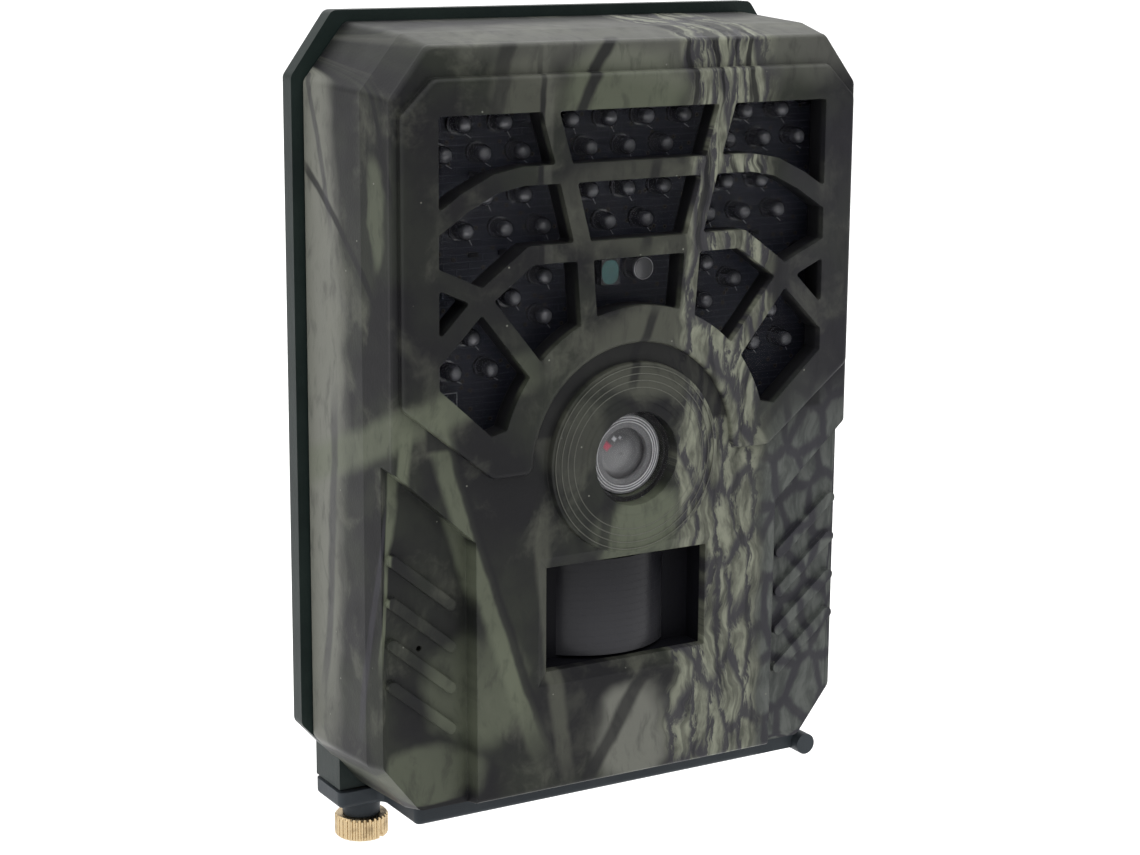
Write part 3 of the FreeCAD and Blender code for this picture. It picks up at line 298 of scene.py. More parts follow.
def camouflage_film(name, painted_highlight=1.0):
    """The printed film; a second argument above 1 lightens it with pale grey: a painted highlight, as on
    raised edges catching light.
    """
    finish, tree, shader = start_material(name)
    point = millimetres(tree)
    x, y, z = split(tree, point)
    depth = calc(tree, "SUBTRACT", y, housing_low.y * 1000)
    side = calc(tree, "MULTIPLY", calc(tree, "SIGN", x), band(tree, calc(tree, "ABSOLUTE", x), *side_bend))
    crown = calc(tree, "MULTIPLY", calc(tree, "SIGN", z), band(tree, calc(tree, "ABSOLUTE", z), *crown_bend))
    across = calc(tree, "MULTIPLY_ADD", side, depth, x)
    up = calc(tree, "MULTIPLY_ADD", crown, depth, z)
    sway = calc(tree, "MULTIPLY_ADD", cloud(tree, join(tree, across, up, 3.0), 0.07), 9.0, -4.5)
    heave = calc(tree, "MULTIPLY_ADD", cloud(tree, join(tree, up, across, 11.0), 0.07), 9.0, -4.5)
    u = calc(tree, "ADD", across, sway)
    v = calc(tree, "ADD", up, heave)
    flat = join(tree, u, v, 0.0)

    ground = blend(tree, band(tree, cloud(tree, flat, 0.055, 4.0), 0.40, 0.62), dark_bark, shade_green)
    haze = band(tree, cloud(tree, join(tree, v, u, 7.0), 0.09, 5.0, 0.62), 0.50, 0.72)
    colour = blend(tree, calc(tree, "MULTIPLY", haze, 0.85), ground, mid_olive)
    for (cu, cv), (hu, hv), strength, tone in patches:
        du = calc(tree, "DIVIDE", calc(tree, "SUBTRACT", u, cu), hu)
        dv = calc(tree, "DIVIDE", calc(tree, "SUBTRACT", v, cv), hv)
        far = calc(tree, "ADD", calc(tree, "MULTIPLY", du, du), calc(tree, "MULTIPLY", dv, dv))
        mask = calc(tree, "MULTIPLY", band(tree, far, 1.5, 0.55), strength)
        colour = blend(tree, mask, colour, tone)
    grain_point = join(tree, calc(tree, "MULTIPLY", u, 0.5), calc(tree, "MULTIPLY", v, 0.16), 0.0)
    grain = cloud(tree, grain_point, 1.0, 4.0, 0.6)
    half_u = calc(tree, "MULTIPLY_ADD", sway, -0.72, u)
    half_v = calc(tree, "MULTIPLY_ADD", heave, -0.72, v)
    for (cu, cv), angle, bend, half_width, half_length, tone, strength in stems:
        c, s = math.cos(math.radians(angle)), math.sin(math.radians(angle))
        du = calc(tree, "SUBTRACT", half_u, cu)
        dv = calc(tree, "SUBTRACT", half_v, cv)
        along = calc(tree, "ADD", calc(tree, "MULTIPLY", du, c), calc(tree, "MULTIPLY", dv, s))
        off = calc(tree, "SUBTRACT", calc(tree, "MULTIPLY", dv, c), calc(tree, "MULTIPLY", du, s))
        off = calc(tree, "MULTIPLY_ADD", calc(tree, "MULTIPLY", along, along), bend, off)
        thick = band(tree, calc(tree, "ABSOLUTE", off), half_width * 1.35, half_width * 0.5)
        ends = band(tree, calc(tree, "ABSOLUTE", along), half_length, half_length * 0.6)
        mask = calc(tree, "MULTIPLY", calc(tree, "MULTIPLY", thick, ends), strength)
        colour = blend(tree, mask, colour, tone)
    colour = blend(tree, calc(tree, "MULTIPLY", band(tree, grain, 0.48, 0.70), 0.35), colour, dark_bark)

    upper = band(tree, v, 22.0, 40.0)
    tall = calc(tree, "MULTIPLY_ADD", upper, -0.030, 0.080)
    ragged_point = join(tree, calc(tree, "MULTIPLY", u, 0.9), calc(tree, "MULTIPLY", v, 0.22), 5.0)
    ragged = cloud(tree, ragged_point, 1.0, 5.0, 0.7)
    cell_u = calc(tree, "MULTIPLY_ADD", ragged, 1.1, calc(tree, "MULTIPLY", half_u, 0.26))
    edge = cracks(tree, join(tree, cell_u, calc(tree, "MULTIPLY", v, tall), 0.0))
    rough_edge = calc(tree, "MULTIPLY_ADD", ragged, 0.55, calc(tree, "SUBTRACT", edge, 0.28))
    plates = blend(tree, band(tree, grain, 0.30, 0.66), mid_olive, plate_grey)
    bark = blend(tree, calc(tree, "MULTIPLY", band(tree, rough_edge, 0.20, 0.02), 0.92), plates, slate_violet)
    streak_point = join(tree, calc(tree, "MULTIPLY", u, 0.55), calc(tree, "MULTIPLY", v, 0.035), 2.0)
    streak = cloud(tree, streak_point, 1.0, 4.0)
    bark = blend(tree, calc(tree, "MULTIPLY", band(tree, streak, 0.50, 0.60),
                            calc(tree, "MULTIPLY_ADD", upper, 0.45, 0.45)), bark, dark_bark)
    strip = calc(tree, "MULTIPLY", band(tree, u, bark_from - 1.6, bark_from + 1.0),
                 band(tree, u, bark_to + 2.5, bark_to - 1.5))
    colour = blend(tree, strip, colour, bark)

    scale_point = join(tree, calc(tree, "MULTIPLY", half_u, 0.17), calc(tree, "MULTIPLY", half_v, 0.125), 0.0)
    scale_edge = calc(tree, "MULTIPLY_ADD", grain, 0.16,
                      calc(tree, "SUBTRACT", cracks(tree, scale_point, 0.9), 0.08))
    scales = blend(tree, calc(tree, "MULTIPLY", band(tree, scale_edge, 0.20, 0.05), 0.9),
                   blend(tree, band(tree, grain, 0.35, 0.65), scale_shade, scale_light), slate_violet)
    region = calc(tree, "MULTIPLY", band(tree, u, scale_from - 2.0, scale_from + 2.0),
                  band(tree, v, 6.0, -10.0))
    colour = blend(tree, calc(tree, "MULTIPLY", region, 0.9), colour, scales)

    fleck = tree.nodes.new("ShaderNodeTexVoronoi")
    tree.links.new(point, fleck.inputs["Vector"])
    fleck.inputs["Scale"].default_value = 0.22
    colour = blend(tree, band(tree, fleck.outputs["Distance"], 0.045, 0.02), colour, pale_grey)
    # Painted shade: inside the windows' field the film turns near-black deeper than about a millimetre.
    walls = calc(tree, "MULTIPLY", band(tree, depth, 0.9, 1.8),
                 band(tree, calc(tree, "ABSOLUTE", x), *opening_edge))
    height = calc(tree, "ABSOLUTE", calc(tree, "SUBTRACT", z, opening_middle))
    walls = calc(tree, "MULTIPLY", walls, band(tree, height, *opening_reach))
    colour = blend(tree, walls, colour, opening_shade)
    # Painted highlight: pale grey laid over the whole film.
    if painted_highlight > 1.0:
        colour = blend(tree, painted_highlight - 1.0, colour, pale_grey)
    tree.links.new(colour, shader.inputs["Base Color"])

    sheen_spots = cloud(tree, point, 0.25, 2.0)
    tree.links.new(calc(tree, "MULTIPLY_ADD", sheen_spots, 0.16, 0.36), shader.inputs["Roughness"])
    grit = cloud(tree, point, 2.2, 2.0)
    relief = calc(tree, "MULTIPLY_ADD", grit, 0.35, calc(tree, "MULTIPLY", calc(tree, "MULTIPLY", strip,
                  band(tree, rough_edge, 0.02, 0.12)), 0.5))
    raise_surface(tree, shader, relief, 0.00006, edge_round=0.0003)
    shader.inputs["Specular IOR Level"].default_value = 0.14
    return finish


def coat(node, finish):
    """Gives a CAD node its finish."""
    mesh = nodes[node].data
    mesh.materials.clear()
    mesh.materials.append(finish)


film = camouflage_film("camouflage_film")
coat("front_housing", film)


# ---- turned rings on the lens boss ------------------------------------------------------
# Fine raised rings that the mould leaves round the boss, in the housing's own film lightened by
# a painted highlight: one circle copied to a growing radius, then given a thin round section.
def new_tree(name, sizes):
    """A Geometry Nodes tree with one named size per input."""
    tree = bpy.data.node_groups.new(name, "GeometryNodeTree")
    tree.interface.new_socket("Geometry", in_out="INPUT", socket_type="NodeSocketGeometry")
    for size in sizes:
        kind = "NodeSocketInt" if isinstance(sizes[size], int) else "NodeSocketFloat"
        tree.interface.new_socket(size, in_out="INPUT", socket_type=kind)
    tree.interface.new_socket("Geometry", in_out="OUTPUT", socket_type="NodeSocketGeometry")
    return tree, tree.nodes.new("NodeGroupInput").outputs


def geo(tree, kind, values=(), **settings):
    """One Geometry Nodes node: settings are its properties, values its inputs by name."""
    node = tree.nodes.new(kind)
    for name, value in settings.items():
        setattr(node, name, value)
    for name, value in dict(values).items():
        feed(tree, node.inputs[name], value)
    return node


def close_tree(tree, shape, finish):
    """Realize, set the material and end the tree."""
    real = geo(tree, "GeometryNodeRealizeInstances", {"Geometry": shape})
    painted = geo(tree, "GeometryNodeSetMaterial", {"Geometry": real.outputs[0], "Material": finish})
    end = tree.nodes.new("NodeGroupOutput")
    tree.links.new(painted.outputs[0], end.inputs[0])


def grow_piece(name, tree, sizes, seeds, finish, body, stands_for=(), smooth=True):
    """Runs a tree on seed points and keeps the result as a plain mesh on a body."""
    seed_mesh = bpy.data.meshes.new(name + "_seed")
    seed_mesh.from_pydata([tuple(seed) for seed in seeds], [], [])
    grower = bpy.data.objects.new(name + "_seed", seed_mesh)
    bpy.context.scene.collection.objects.link(grower)
    modifier = grower.modifiers.new("grow", "NODES")
    modifier.node_group = tree
    for item in tree.interface.items_tree:
        if item.in_out == "INPUT" and item.name in sizes:
            modifier[item.identifier] = sizes[item.name]
    seen = grower.evaluated_get(bpy.context.evaluated_depsgraph_get())
    mesh = bpy.data.meshes.new_from_object(seen)
    bpy.data.objects.remove(grower)
    mesh.name = name
    mesh.materials.clear()
    mesh.materials.append(finish)
    if smooth:
        mesh.shade_smooth()
    piece = bpy.data.objects.new(name, mesh)
    bpy.context.scene.collection.objects.link(piece)
    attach(piece, body)
    if stands_for:
        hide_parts(*stands_for)
    return piece


def ring_tree(finish, sizes):
    tree, size = new_tree("turned_rings", sizes)
    copies = geo(tree, "GeometryNodeMeshLine", {"Count": size["Rings"]})
    copies.inputs["Offset"].default_value = (0, 0, 0)
    place = geo(tree, "GeometryNodeInputPosition")
    seed = geo(tree, "GeometryNodeSampleIndex",
               {"Geometry": size["Geometry"], "Value": place.outputs[0]}, data_type="FLOAT_VECTOR")
    moved = geo(tree, "GeometryNodeSetPosition", {"Geometry": copies.outputs[0], "Position": seed.outputs[0]})
    circle = geo(tree, "GeometryNodeCurvePrimitiveCircle", {"Resolution": 128, "Radius": 1.0})
    number = geo(tree, "GeometryNodeInputIndex")
    step = geo(tree, "ShaderNodeMath", operation="MULTIPLY")
    tree.links.new(number.outputs[0], step.inputs[0])
    tree.links.new(size["Pitch"], step.inputs[1])
    radius = geo(tree, "ShaderNodeMath", operation="ADD")
    tree.links.new(step.outputs[0], radius.inputs[0])
    tree.links.new(size["Radius"], radius.inputs[1])
    rings = geo(tree, "GeometryNodeInstanceOnPoints",
                {"Points": moved.outputs[0], "Instance": circle.outputs[0],
                 "Rotation": (math.pi / 2, 0, 0), "Scale": radius.outputs[0]})
    real = geo(tree, "GeometryNodeRealizeInstances", {"Geometry": rings.outputs[0]})
    section = geo(tree, "GeometryNodeCurvePrimitiveCircle", {"Resolution": 6, "Radius": size["Bead"]})
    tube = geo(tree, "GeometryNodeCurveToMesh",
               {"Curve": real.outputs[0], "Profile Curve": section.outputs[0]})
    close_tree(tree, tube.outputs[0], finish)
    return tree


window_low, window_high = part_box("lens_window")
lens_centre = (window_low + window_high) / 2
boss_rings = {"Rings": 4, "Radius": 0.0119, "Pitch": 0.00115, "Bead": 0.00010}
ring_seat = housing_low.y + 0.00021  # the rings' depth, just behind the panel's face
# The rings' film carries a painted highlight: pale grey laid over it.
ring_highlight_film = camouflage_film("ring_highlight_film", 1.5)
grow_piece("boss_rings", ring_tree(ring_highlight_film, boss_rings), boss_rings,
           [(lens_centre.x, ring_seat, lens_centre.z)], ring_highlight_film, "camera")


# ---- rear cover, strap rails and service door -------------------------------------------
# Through-coloured green-grey plastic with a fine spark-eroded grain; the block by the ports
# and the door are the same plastic in a bluer slate.
def moulded(name, colour, other, roughness, grain, depth_of_grain, mottle=0.06):
    """Moulded plastic: a slow drift between two tones, a fine grain and faint scuffs."""
    finish, tree, shader = start_material(name)
    point = millimetres(tree)
    drift = band(tree, cloud(tree, point, mottle, 4.0, 0.6), 0.35, 0.68)
    toned = blend(tree, drift, colour, other)
    x, y, z = split(tree, point)
    scuff_point = join(tree, calc(tree, "MULTIPLY", x, 2.6), y, calc(tree, "MULTIPLY", z, 0.22))
    scuff = cloud(tree, scuff_point, 0.9, 5.0, 0.7)
    scuffed = blend(tree, calc(tree, "MULTIPLY", band(tree, scuff, 0.62, 0.78), 0.18), toned,
                    tuple(min(1.0, c * 2.2 + 0.01) for c in other))
    tree.links.new(scuffed, shader.inputs["Base Color"])
    tree.links.new(calc(tree, "MULTIPLY_ADD", scuff, 0.18, roughness - 0.09), shader.inputs["Roughness"])
    shader.inputs["Specular IOR Level"].default_value = 0.12
    raise_surface(tree, shader, cloud(tree, point, grain, 2.0), depth_of_grain)
    return finish


cover_plastic = moulded("cover_plastic", (0.008, 0.013, 0.012), (0.012, 0.019, 0.017), 0.42, 3.2, 0.00003)
door_plastic = moulded("door_plastic", (0.024, 0.029, 0.034), (0.032, 0.038, 0.043), 0.44, 3.2, 0.00003)
coat("rear_cover", cover_plastic)
coat("service_door", door_plastic)


# ---- seals ------------------------------------------------------------------------------
# Black silicone rubber between the two shells, on the door and behind the lens window.
def rubber(name):
    finish, tree, shader = start_material(name)
    point = millimetres(tree)
    bloom = band(tree, cloud(tree, point, 0.5, 5.0, 0.65), 0.45, 0.75)
    dusty = blend(tree, calc(tree, "MULTIPLY", bloom, 0.5), (0.006, 0.006, 0.007), (0.030, 0.030, 0.032))
    tree.links.new(dusty, shader.inputs["Base Color"])
    shader.inputs["Roughness"].default_value = 0.72
    raise_surface(tree, shader, cloud(tree, point, 4.0, 1.0), 0.00002)
    return finish


seal_rubber = rubber("seal_rubber")
for node in ("housing_seal", "door_seal", "lens_gasket"):
    coat(node, seal_rubber)


# ---- brass thumb screw, insert and tripod socket ----------------------------------------
# Turned brass with fine lathe marks round the axis, darker where fingers have tarnished it.
def turned_metal(name, bright, dull, axis, centre, roughness, mark=6.0):
    """Metal turned about an axis: rings round the centre, with patches of tarnish."""
    finish, tree, shader = start_material(name)
    point = millimetres(tree)
    parts = split(tree, point)
    flat = [i for i in range(3) if i != axis]
    squares = []
    for i in flat:
        off = calc(tree, "SUBTRACT", parts[i], centre[i] * 1000)
        squares.append(calc(tree, "MULTIPLY", off, off))
    radius = calc(tree, "SQRT", calc(tree, "ADD", *squares))
    marks = cloud(tree, join(tree, radius, parts[axis], 0.0), mark, 3.0, 0.7)
    tarnish = band(tree, cloud(tree, point, 0.6, 5.0, 0.6), 0.46, 0.72)
    colour = blend(tree, calc(tree, "MULTIPLY", tarnish, 0.6), bright, dull)
    tree.links.new(colour, shader.inputs["Base Color"])
    shader.inputs["Metallic"].default_value = 1.0
    tree.links.new(calc(tree, "MULTIPLY_ADD", tarnish, 0.20, roughness), shader.inputs["Roughness"])
    raise_surface(tree, shader, marks, 0.00002)
    return finish


def middle(node):
    low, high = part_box(node)
    return (low + high) / 2


bright_brass = (0.48, 0.37, 0.22)
dull_brass = (0.25, 0.18, 0.10)
for node, name, roughness in (("thumb_screw", "thumb_brass", 0.26),
                              ("threaded_insert", "insert_brass", 0.30)):
    coat(node, turned_metal(name, bright_brass, dull_brass, 2, middle(node), roughness))
socket_brass = turned_metal("socket_brass", bright_brass, dull_brass, 1, middle("tripod_insert"), 0.30)
coat("tripod_insert", socket_brass)


# ---- thread in the tripod socket --------------------------------------------------------
# The quarter-inch thread, 20 turns to the inch, as a low ridge wound down the brass wall.
def thread_tree(finish, sizes):
    tree, size = new_tree("socket_thread", sizes)
    winding = geo(tree, "GeometryNodeCurveSpiral",
                  {"Resolution": 48, "Rotations": size["Turns"], "Start Radius": size["Radius"],
                   "End Radius": size["Radius"], "Height": size["Length"]})
    ridge = geo(tree, "GeometryNodeCurvePrimitiveCircle", {"Resolution": 4, "Radius": size["Ridge"]})
    tube = geo(tree, "GeometryNodeCurveToMesh",
               {"Curve": winding.outputs[0], "Profile Curve": ridge.outputs[0], "Fill Caps": True})
    placed = geo(tree, "GeometryNodeInstanceOnPoints",
                 {"Points": size["Geometry"], "Instance": tube.outputs[0], "Rotation": (math.pi / 2, 0, 0)})
    close_tree(tree, placed.outputs[0], finish)
    return tree


socket = frame["record"]["mounts"][0]["dims"]
thread_pitch = 0.0254 / 20
thread_length = socket["length_mm"] / 1000 - 0.0009
thread = {"Turns": thread_length / thread_pitch, "Radius": socket["r_mm"] / 1000 + 0.00005,
          "Length": thread_length, "Ridge": 0.00026}
grow_piece("socket_thread", thread_tree(socket_brass, thread), thread, [(0, -0.0003, 0)], socket_brass,
           "camera", smooth=False)


# ---- screws, hinge pin and clip ---------------------------------------------------------
# Plain zinc-plated steel, with the streaks that the driver and the plating leave.
def plated_steel(name, colour, roughness):
    finish, tree, shader = start_material(name)
    point = millimetres(tree)
    x, y, z = split(tree, point)
    streak_point = join(tree, calc(tree, "MULTIPLY", x, 0.4), calc(tree, "MULTIPLY", y, 3.0), z)
    streaks = cloud(tree, streak_point, 2.0, 4.0, 0.6)
    worn = tuple(c * 0.55 for c in colour)
    tree.links.new(blend(tree, band(tree, streaks, 0.45, 0.75), colour, worn), shader.inputs["Base Color"])
    shader.inputs["Metallic"].default_value = 1.0
    tree.links.new(calc(tree, "MULTIPLY_ADD", streaks, 0.25, roughness - 0.1), shader.inputs["Roughness"])
    raise_surface(tree, shader, streaks, 0.00001)
    return finish


screw_steel = plated_steel("screw_steel", (0.58, 0.58, 0.60), 0.30)
for node in ("cover_screws", "led_board_screws", "main_board_screws", "door_hinge_pin", "retaining_clip"):
    coat(node, screw_steel)


# ---- smoked window over the lights ------------------------------------------------------
# A thin dark acrylic sheet behind the branches, clear enough to show the lights behind it.
def clear_sheet(name, colour, alpha, roughness, ior, gloss=0.5):
    finish, tree, shader = start_material(name)
    point = millimetres(tree)
    haze = cloud(tree, point, 0.12, 3.0, 0.6)
    tree.links.new(blend(tree, haze, colour, tuple(c * 1.6 for c in colour)), shader.inputs["Base Color"])
    tree.links.new(calc(tree, "MULTIPLY_ADD", haze, 0.06, roughness), shader.inputs["Roughness"])
    shader.inputs["Alpha"].default_value = alpha
    shader.inputs["IOR"].default_value = ior
    shader.inputs["Specular IOR Level"].default_value = gloss
    return finish


coat("ir_window", clear_sheet("smoked_window", (0.008, 0.008, 0.012), 0.16, 0.10, 1.49, 0.12))


# ---- circuit boards ---------------------------------------------------------------------
# Glass-epoxy boards under dark blue-black solder mask, with fine tracks and plated holes.
def circuit_board(name, mask, track):
    finish, tree, shader = start_material(name)
    point = millimetres(tree)
    x, y, z = split(tree, point)
    maze = tree.nodes.new("ShaderNodeTexBrick")
    tree.links.new(join(tree, x, z, 0.0), maze.inputs["Vector"])
    maze.inputs["Scale"].default_value = 0.36
    maze.inputs["Mortar Size"].default_value = 0.035
    maze.inputs["Mortar Smooth"].default_value = 0.2
    maze.inputs["Brick Width"].default_value = 1.7
    maze.inputs["Row Height"].default_value = 0.42
    maze.inputs["Bias"].default_value = 0.1
    lines = maze.outputs["Fac"]
    hole = tree.nodes.new("ShaderNodeTexVoronoi")
    hole.voronoi_dimensions = "2D"
    tree.links.new(join(tree, x, z, 0.0), hole.inputs["Vector"])
    hole.inputs["Scale"].default_value = 0.30
    rims = band(tree, hole.outputs["Distance"], 0.12, 0.09)
    tint = blend(tree, calc(tree, "MULTIPLY", lines, 0.8), mask, track)
    tint = blend(tree, rims, tint, (0.055, 0.050, 0.042))
    tint = blend(tree, band(tree, hole.outputs["Distance"], 0.06, 0.04), tint, (0.004, 0.004, 0.004))
    tree.links.new(tint, shader.inputs["Base Color"])
    shader.inputs["Roughness"].default_value = 0.40
    shader.inputs["Specular IOR Level"].default_value = 0.2
    raise_surface(tree, shader, calc(tree, "ADD", lines, rims), 0.00003)
    return finish


board_mask = circuit_board("board_mask", (0.024, 0.027, 0.037), (0.038, 0.042, 0.056))
for node in ("led_board", "main_board", "port_board"):
    coat(node, board_mask)


# ---- infra-red lights -------------------------------------------------------------------
# Round 3 mm lights in smoky grey epoxy, soldered flat on the board, and the paler indicator
# with two bright rings on it, beside the teal light sensor.
def solids_of(node):
    """The box of each separate solid in a CAD node, as (lowest, highest) corners."""
    shape = bmesh.new()
    shape.from_mesh(nodes[node].data)
    bmesh.ops.remove_doubles(shape, verts=shape.verts, dist=1e-6)
    found, seen = [], set()
    for vertex in shape.verts:
        if vertex in seen:
            continue
        waiting, island = [vertex], []
        seen.add(vertex)
        while waiting:
            here = waiting.pop()
            island.append(here.co)
            for edge in here.link_edges:
                other = edge.other_vert(here)
                if other not in seen:
                    seen.add(other)
                    waiting.append(other)
        found.append((Vector([min(p[i] for p in island) for i in range(3)]),
                      Vector([max(p[i] for p in island) for i in range(3)])))
    shape.free()
    return found


def epoxy(name, colour, tip_colour, front):
    """Casting resin: lighter at the tip, where the cup inside shows through the dome."""
    finish, tree, shader = start_material(name)
    point = millimetres(tree)
    x, y, z = split(tree, point)
    swirl = cloud(tree, point, 0.8, 3.0)
    tip = band(tree, calc(tree, "MULTIPLY_ADD", swirl, 0.5, y), front.y * 1000 + 0.95, front.y * 1000 + 0.30)
    tree.links.new(blend(tree, tip, colour, tip_colour), shader.inputs["Base Color"])
    tree.links.new(calc(tree, "MULTIPLY_ADD", swirl, 0.06, 0.12), shader.inputs["Roughness"])
    shader.inputs["Specular IOR Level"].default_value = 0.9
    shader.inputs["IOR"].default_value = 1.53
    return finish


coat("ir_leds", epoxy("led_epoxy", (0.040, 0.041, 0.048), (0.120, 0.122, 0.135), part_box("ir_leds")[0]))
coat("status_led", epoxy("led_clear", (0.060, 0.062, 0.068), (0.170, 0.172, 0.180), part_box("status_led")[0]))
light_feet = [((low.x + high.x) / 2, high.y, (low.z + high.z) / 2) for low, high in solids_of("ir_leds")]

indicator_low, indicator_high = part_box("status_led")
rim_metal = plated_steel("indicator_rim", (0.70, 0.71, 0.74), 0.35)
rims = {"Rings": 2, "Radius": 0.00135, "Pitch": 0.00045, "Bead": 0.00008}
grow_piece("indicator_rims", ring_tree(rim_metal, rims), rims,
           [((indicator_low.x + indicator_high.x) / 2, indicator_low.y + 0.00012,
             (indicator_low.z + indicator_high.z) / 2)], rim_metal, "camera")


# ---- printed marks on the light board ---------------------------------------------------
# White ink: a short slanting stroke beside each light, and low at the left one frame with
# plain bars in it. Each is a thin flat slab on the board.
def white_ink():
    finish, tree, shader = start_material("white_ink")
    point = millimetres(tree)
    worn = band(tree, cloud(tree, point, 3.0, 4.0, 0.7), 0.30, 0.62)
    tree.links.new(blend(tree, worn, (0.08, 0.085, 0.10), (0.26, 0.27, 0.29)), shader.inputs["Base Color"])
    shader.inputs["Roughness"].default_value = 0.6
    return finish


def stroke_tree(finish, sizes):
    tree, size = new_tree("printed_strokes", sizes)
    outline = geo(tree, "ShaderNodeCombineXYZ",
                  {"X": size["Length"], "Y": size["Width"], "Z": size["Thickness"]})
    slab = geo(tree, "GeometryNodeMeshCube", {"Size": outline.outputs[0]})
    slant = geo(tree, "FunctionNodeRandomValue", data_type="FLOAT")
    slant.inputs[2].default_value = math.radians(25)
    slant.inputs[3].default_value = math.radians(75)
    slant.inputs["Seed"].default_value = 4
    angle = geo(tree, "ShaderNodeCombineXYZ", {"X": math.pi / 2, "Y": slant.outputs[1]})
    placed = geo(tree, "GeometryNodeInstanceOnPoints",
                 {"Points": size["Geometry"], "Instance": slab.outputs["Mesh"], "Rotation": angle.outputs[0]})
    close_tree(tree, placed.outputs[0], finish)
    return tree


ink = white_ink()
board_low, board_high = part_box("led_board")
ink_y = board_low.y - 0.00003
strokes = {"Length": 0.0012, "Width": 0.00014, "Thickness": 0.00006}
stroke_places = [(x + 0.0024, ink_y, z - 0.0022) for x, _, z in light_feet]
grow_piece("light_marks", stroke_tree(ink, strokes), strokes, stroke_places, ink, "camera",
           smooth=False)


def printed_frame(left, low, width, height):
    """A frame of four sides with three plain bars in it."""
    line = 0.00018
    slabs = [(left, low, width, line), (left, low + height, width, line), (left, low, line, height),
             (left + width, low, line, height + line)]
    slabs += [(left + 0.0009, low + 0.0008 + k * 0.0010, width * (0.75 - 0.12 * k), 0.00045)
              for k in range(3)]
    shape = bmesh.new()
    for x, z, wide, high in slabs:
        place = Matrix.Translation((x + wide / 2, ink_y, z + high / 2))
        bmesh.ops.create_cube(shape, size=1.0, matrix=place @ Matrix.Diagonal((wide, 0.00006, high, 1)))
    mesh = bpy.data.meshes.new("printed_frame")
    shape.to_mesh(mesh)
    shape.free()
    mesh.materials.append(ink)
    frame_piece = bpy.data.objects.new("printed_frame", mesh)
    bpy.context.scene.collection.objects.link(frame_piece)
    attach(frame_piece, "camera")


printed_frame(board_low.x + 0.0068, board_low.z + 0.0036, 0.0052, 0.0036)


# ---- lens -------------------------------------------------------------------------------
# A flat, almost clear cover glass over a coated lens, in a grey barrel with a lock ring and
# three pale turned rings on its face.
def radius_from(tree, centre):
    """The distance from the lens's axis, in millimetres."""
    x, y, z = split(tree, millimetres(tree))
    dx = calc(tree, "SUBTRACT", x, centre.x * 1000)
    dz = calc(tree, "SUBTRACT", z, centre.z * 1000)
    squares = calc(tree, "ADD", calc(tree, "MULTIPLY", dx, dx), calc(tree, "MULTIPLY", dz, dz))
    return calc(tree, "SQRT", squares)


# Painted glints on the lens, a red painted reflection and two painted highlights: millimetres across and up
# from the axis, spread, colour.
painted_glints = ((-2.6, 1.3, 1.2, (0.42, 0.07, 0.11)), (-1.2, 2.4, 0.7, (0.45, 0.45, 0.47)),
                  (-0.1, 2.5, 0.5, (0.30, 0.30, 0.32)))


def coated_glass():
    finish, tree, shader = start_material("coated_glass")
    radius = radius_from(tree, lens_centre)
    x, y, z = split(tree, millimetres(tree))
    # Painted reflection: the opaque element's grey lightens towards the bottom.
    painted_light_below = band(tree, calc(tree, "SUBTRACT", z, lens_centre.z * 1000), 4.0, -3.0)
    colour = blend(tree, painted_light_below, (0.110, 0.110, 0.115), (0.170, 0.170, 0.175))
    colour = blend(tree, band(tree, radius, 3.3, 3.1), colour, blend(tree, painted_light_below, (0.085, 0.085, 0.090),
                                                                    (0.150, 0.150, 0.155)))
    # Painted reflection and painted highlights, laid into the colour.
    for across, up, spread, tone in painted_glints:
        beside = calc(tree, "SUBTRACT", x, lens_centre.x * 1000 + across)
        above = calc(tree, "SUBTRACT", z, lens_centre.z * 1000 + up)
        far = calc(tree, "ADD", calc(tree, "ABSOLUTE", beside), calc(tree, "ABSOLUTE", above))
        colour = blend(tree, band(tree, far, spread, spread * 0.3), colour, tone)
    tree.links.new(colour, shader.inputs["Base Color"])
    shader.inputs["Roughness"].default_value = 0.22
    shader.inputs["Specular IOR Level"].default_value = 0.5
    return finish


def black_barrel(name, colour, roughness, gloss=0.3):
    finish, tree, shader = start_material(name)
    point = millimetres(tree)
    fine = cloud(tree, point, 1.6, 4.0, 0.6)
    tree.links.new(blend(tree, fine, colour, tuple(c * 2.0 for c in colour)), shader.inputs["Base Color"])
    tree.links.new(calc(tree, "MULTIPLY_ADD", fine, 0.2, roughness - 0.1), shader.inputs["Roughness"])
    shader.inputs["Specular IOR Level"].default_value = gloss
    raise_surface(tree, shader, cloud(tree, point, 5.0, 1.0), 0.00002)
    return finish


barrel_black = black_barrel("barrel_black", (0.016, 0.016, 0.018), 0.42)
barrel_grey = black_barrel("barrel_grey", (0.085, 0.085, 0.088), 0.50)
ring_edge = black_barrel("ring_edge", (0.32, 0.32, 0.33), 0.40)
coat("lens_front_element", coated_glass())
coat("lens_rear_element", clear_sheet("rear_glass", (0.12, 0.13, 0.14), 0.5, 0.03, 1.52))
coat("lens_window", clear_sheet("cover_glass", (0.110, 0.110, 0.114), 0.02, 0.04, 1.52, 0.50))
for node in ("lens_barrel", "lens_retainer"):
    coat(node, barrel_grey)
coat("pir_frame", black_barrel("detector_frame", (0.003, 0.003, 0.004), 0.55, 0.06))
for node in ("lens_holder", "board_header", "dc_jack", "switch_slider", "battery_tray"):
    coat(node, barrel_black)

barrel_low, barrel_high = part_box("lens_barrel")
lens_rings = {"Rings": 3, "Radius": 0.00545, "Pitch": 0.00042, "Bead": 0.00009}
grow_piece("barrel_rings", ring_tree(ring_edge, lens_rings), lens_rings,
           [(lens_centre.x, barrel_low.y, lens_centre.z)], ring_edge, "camera")
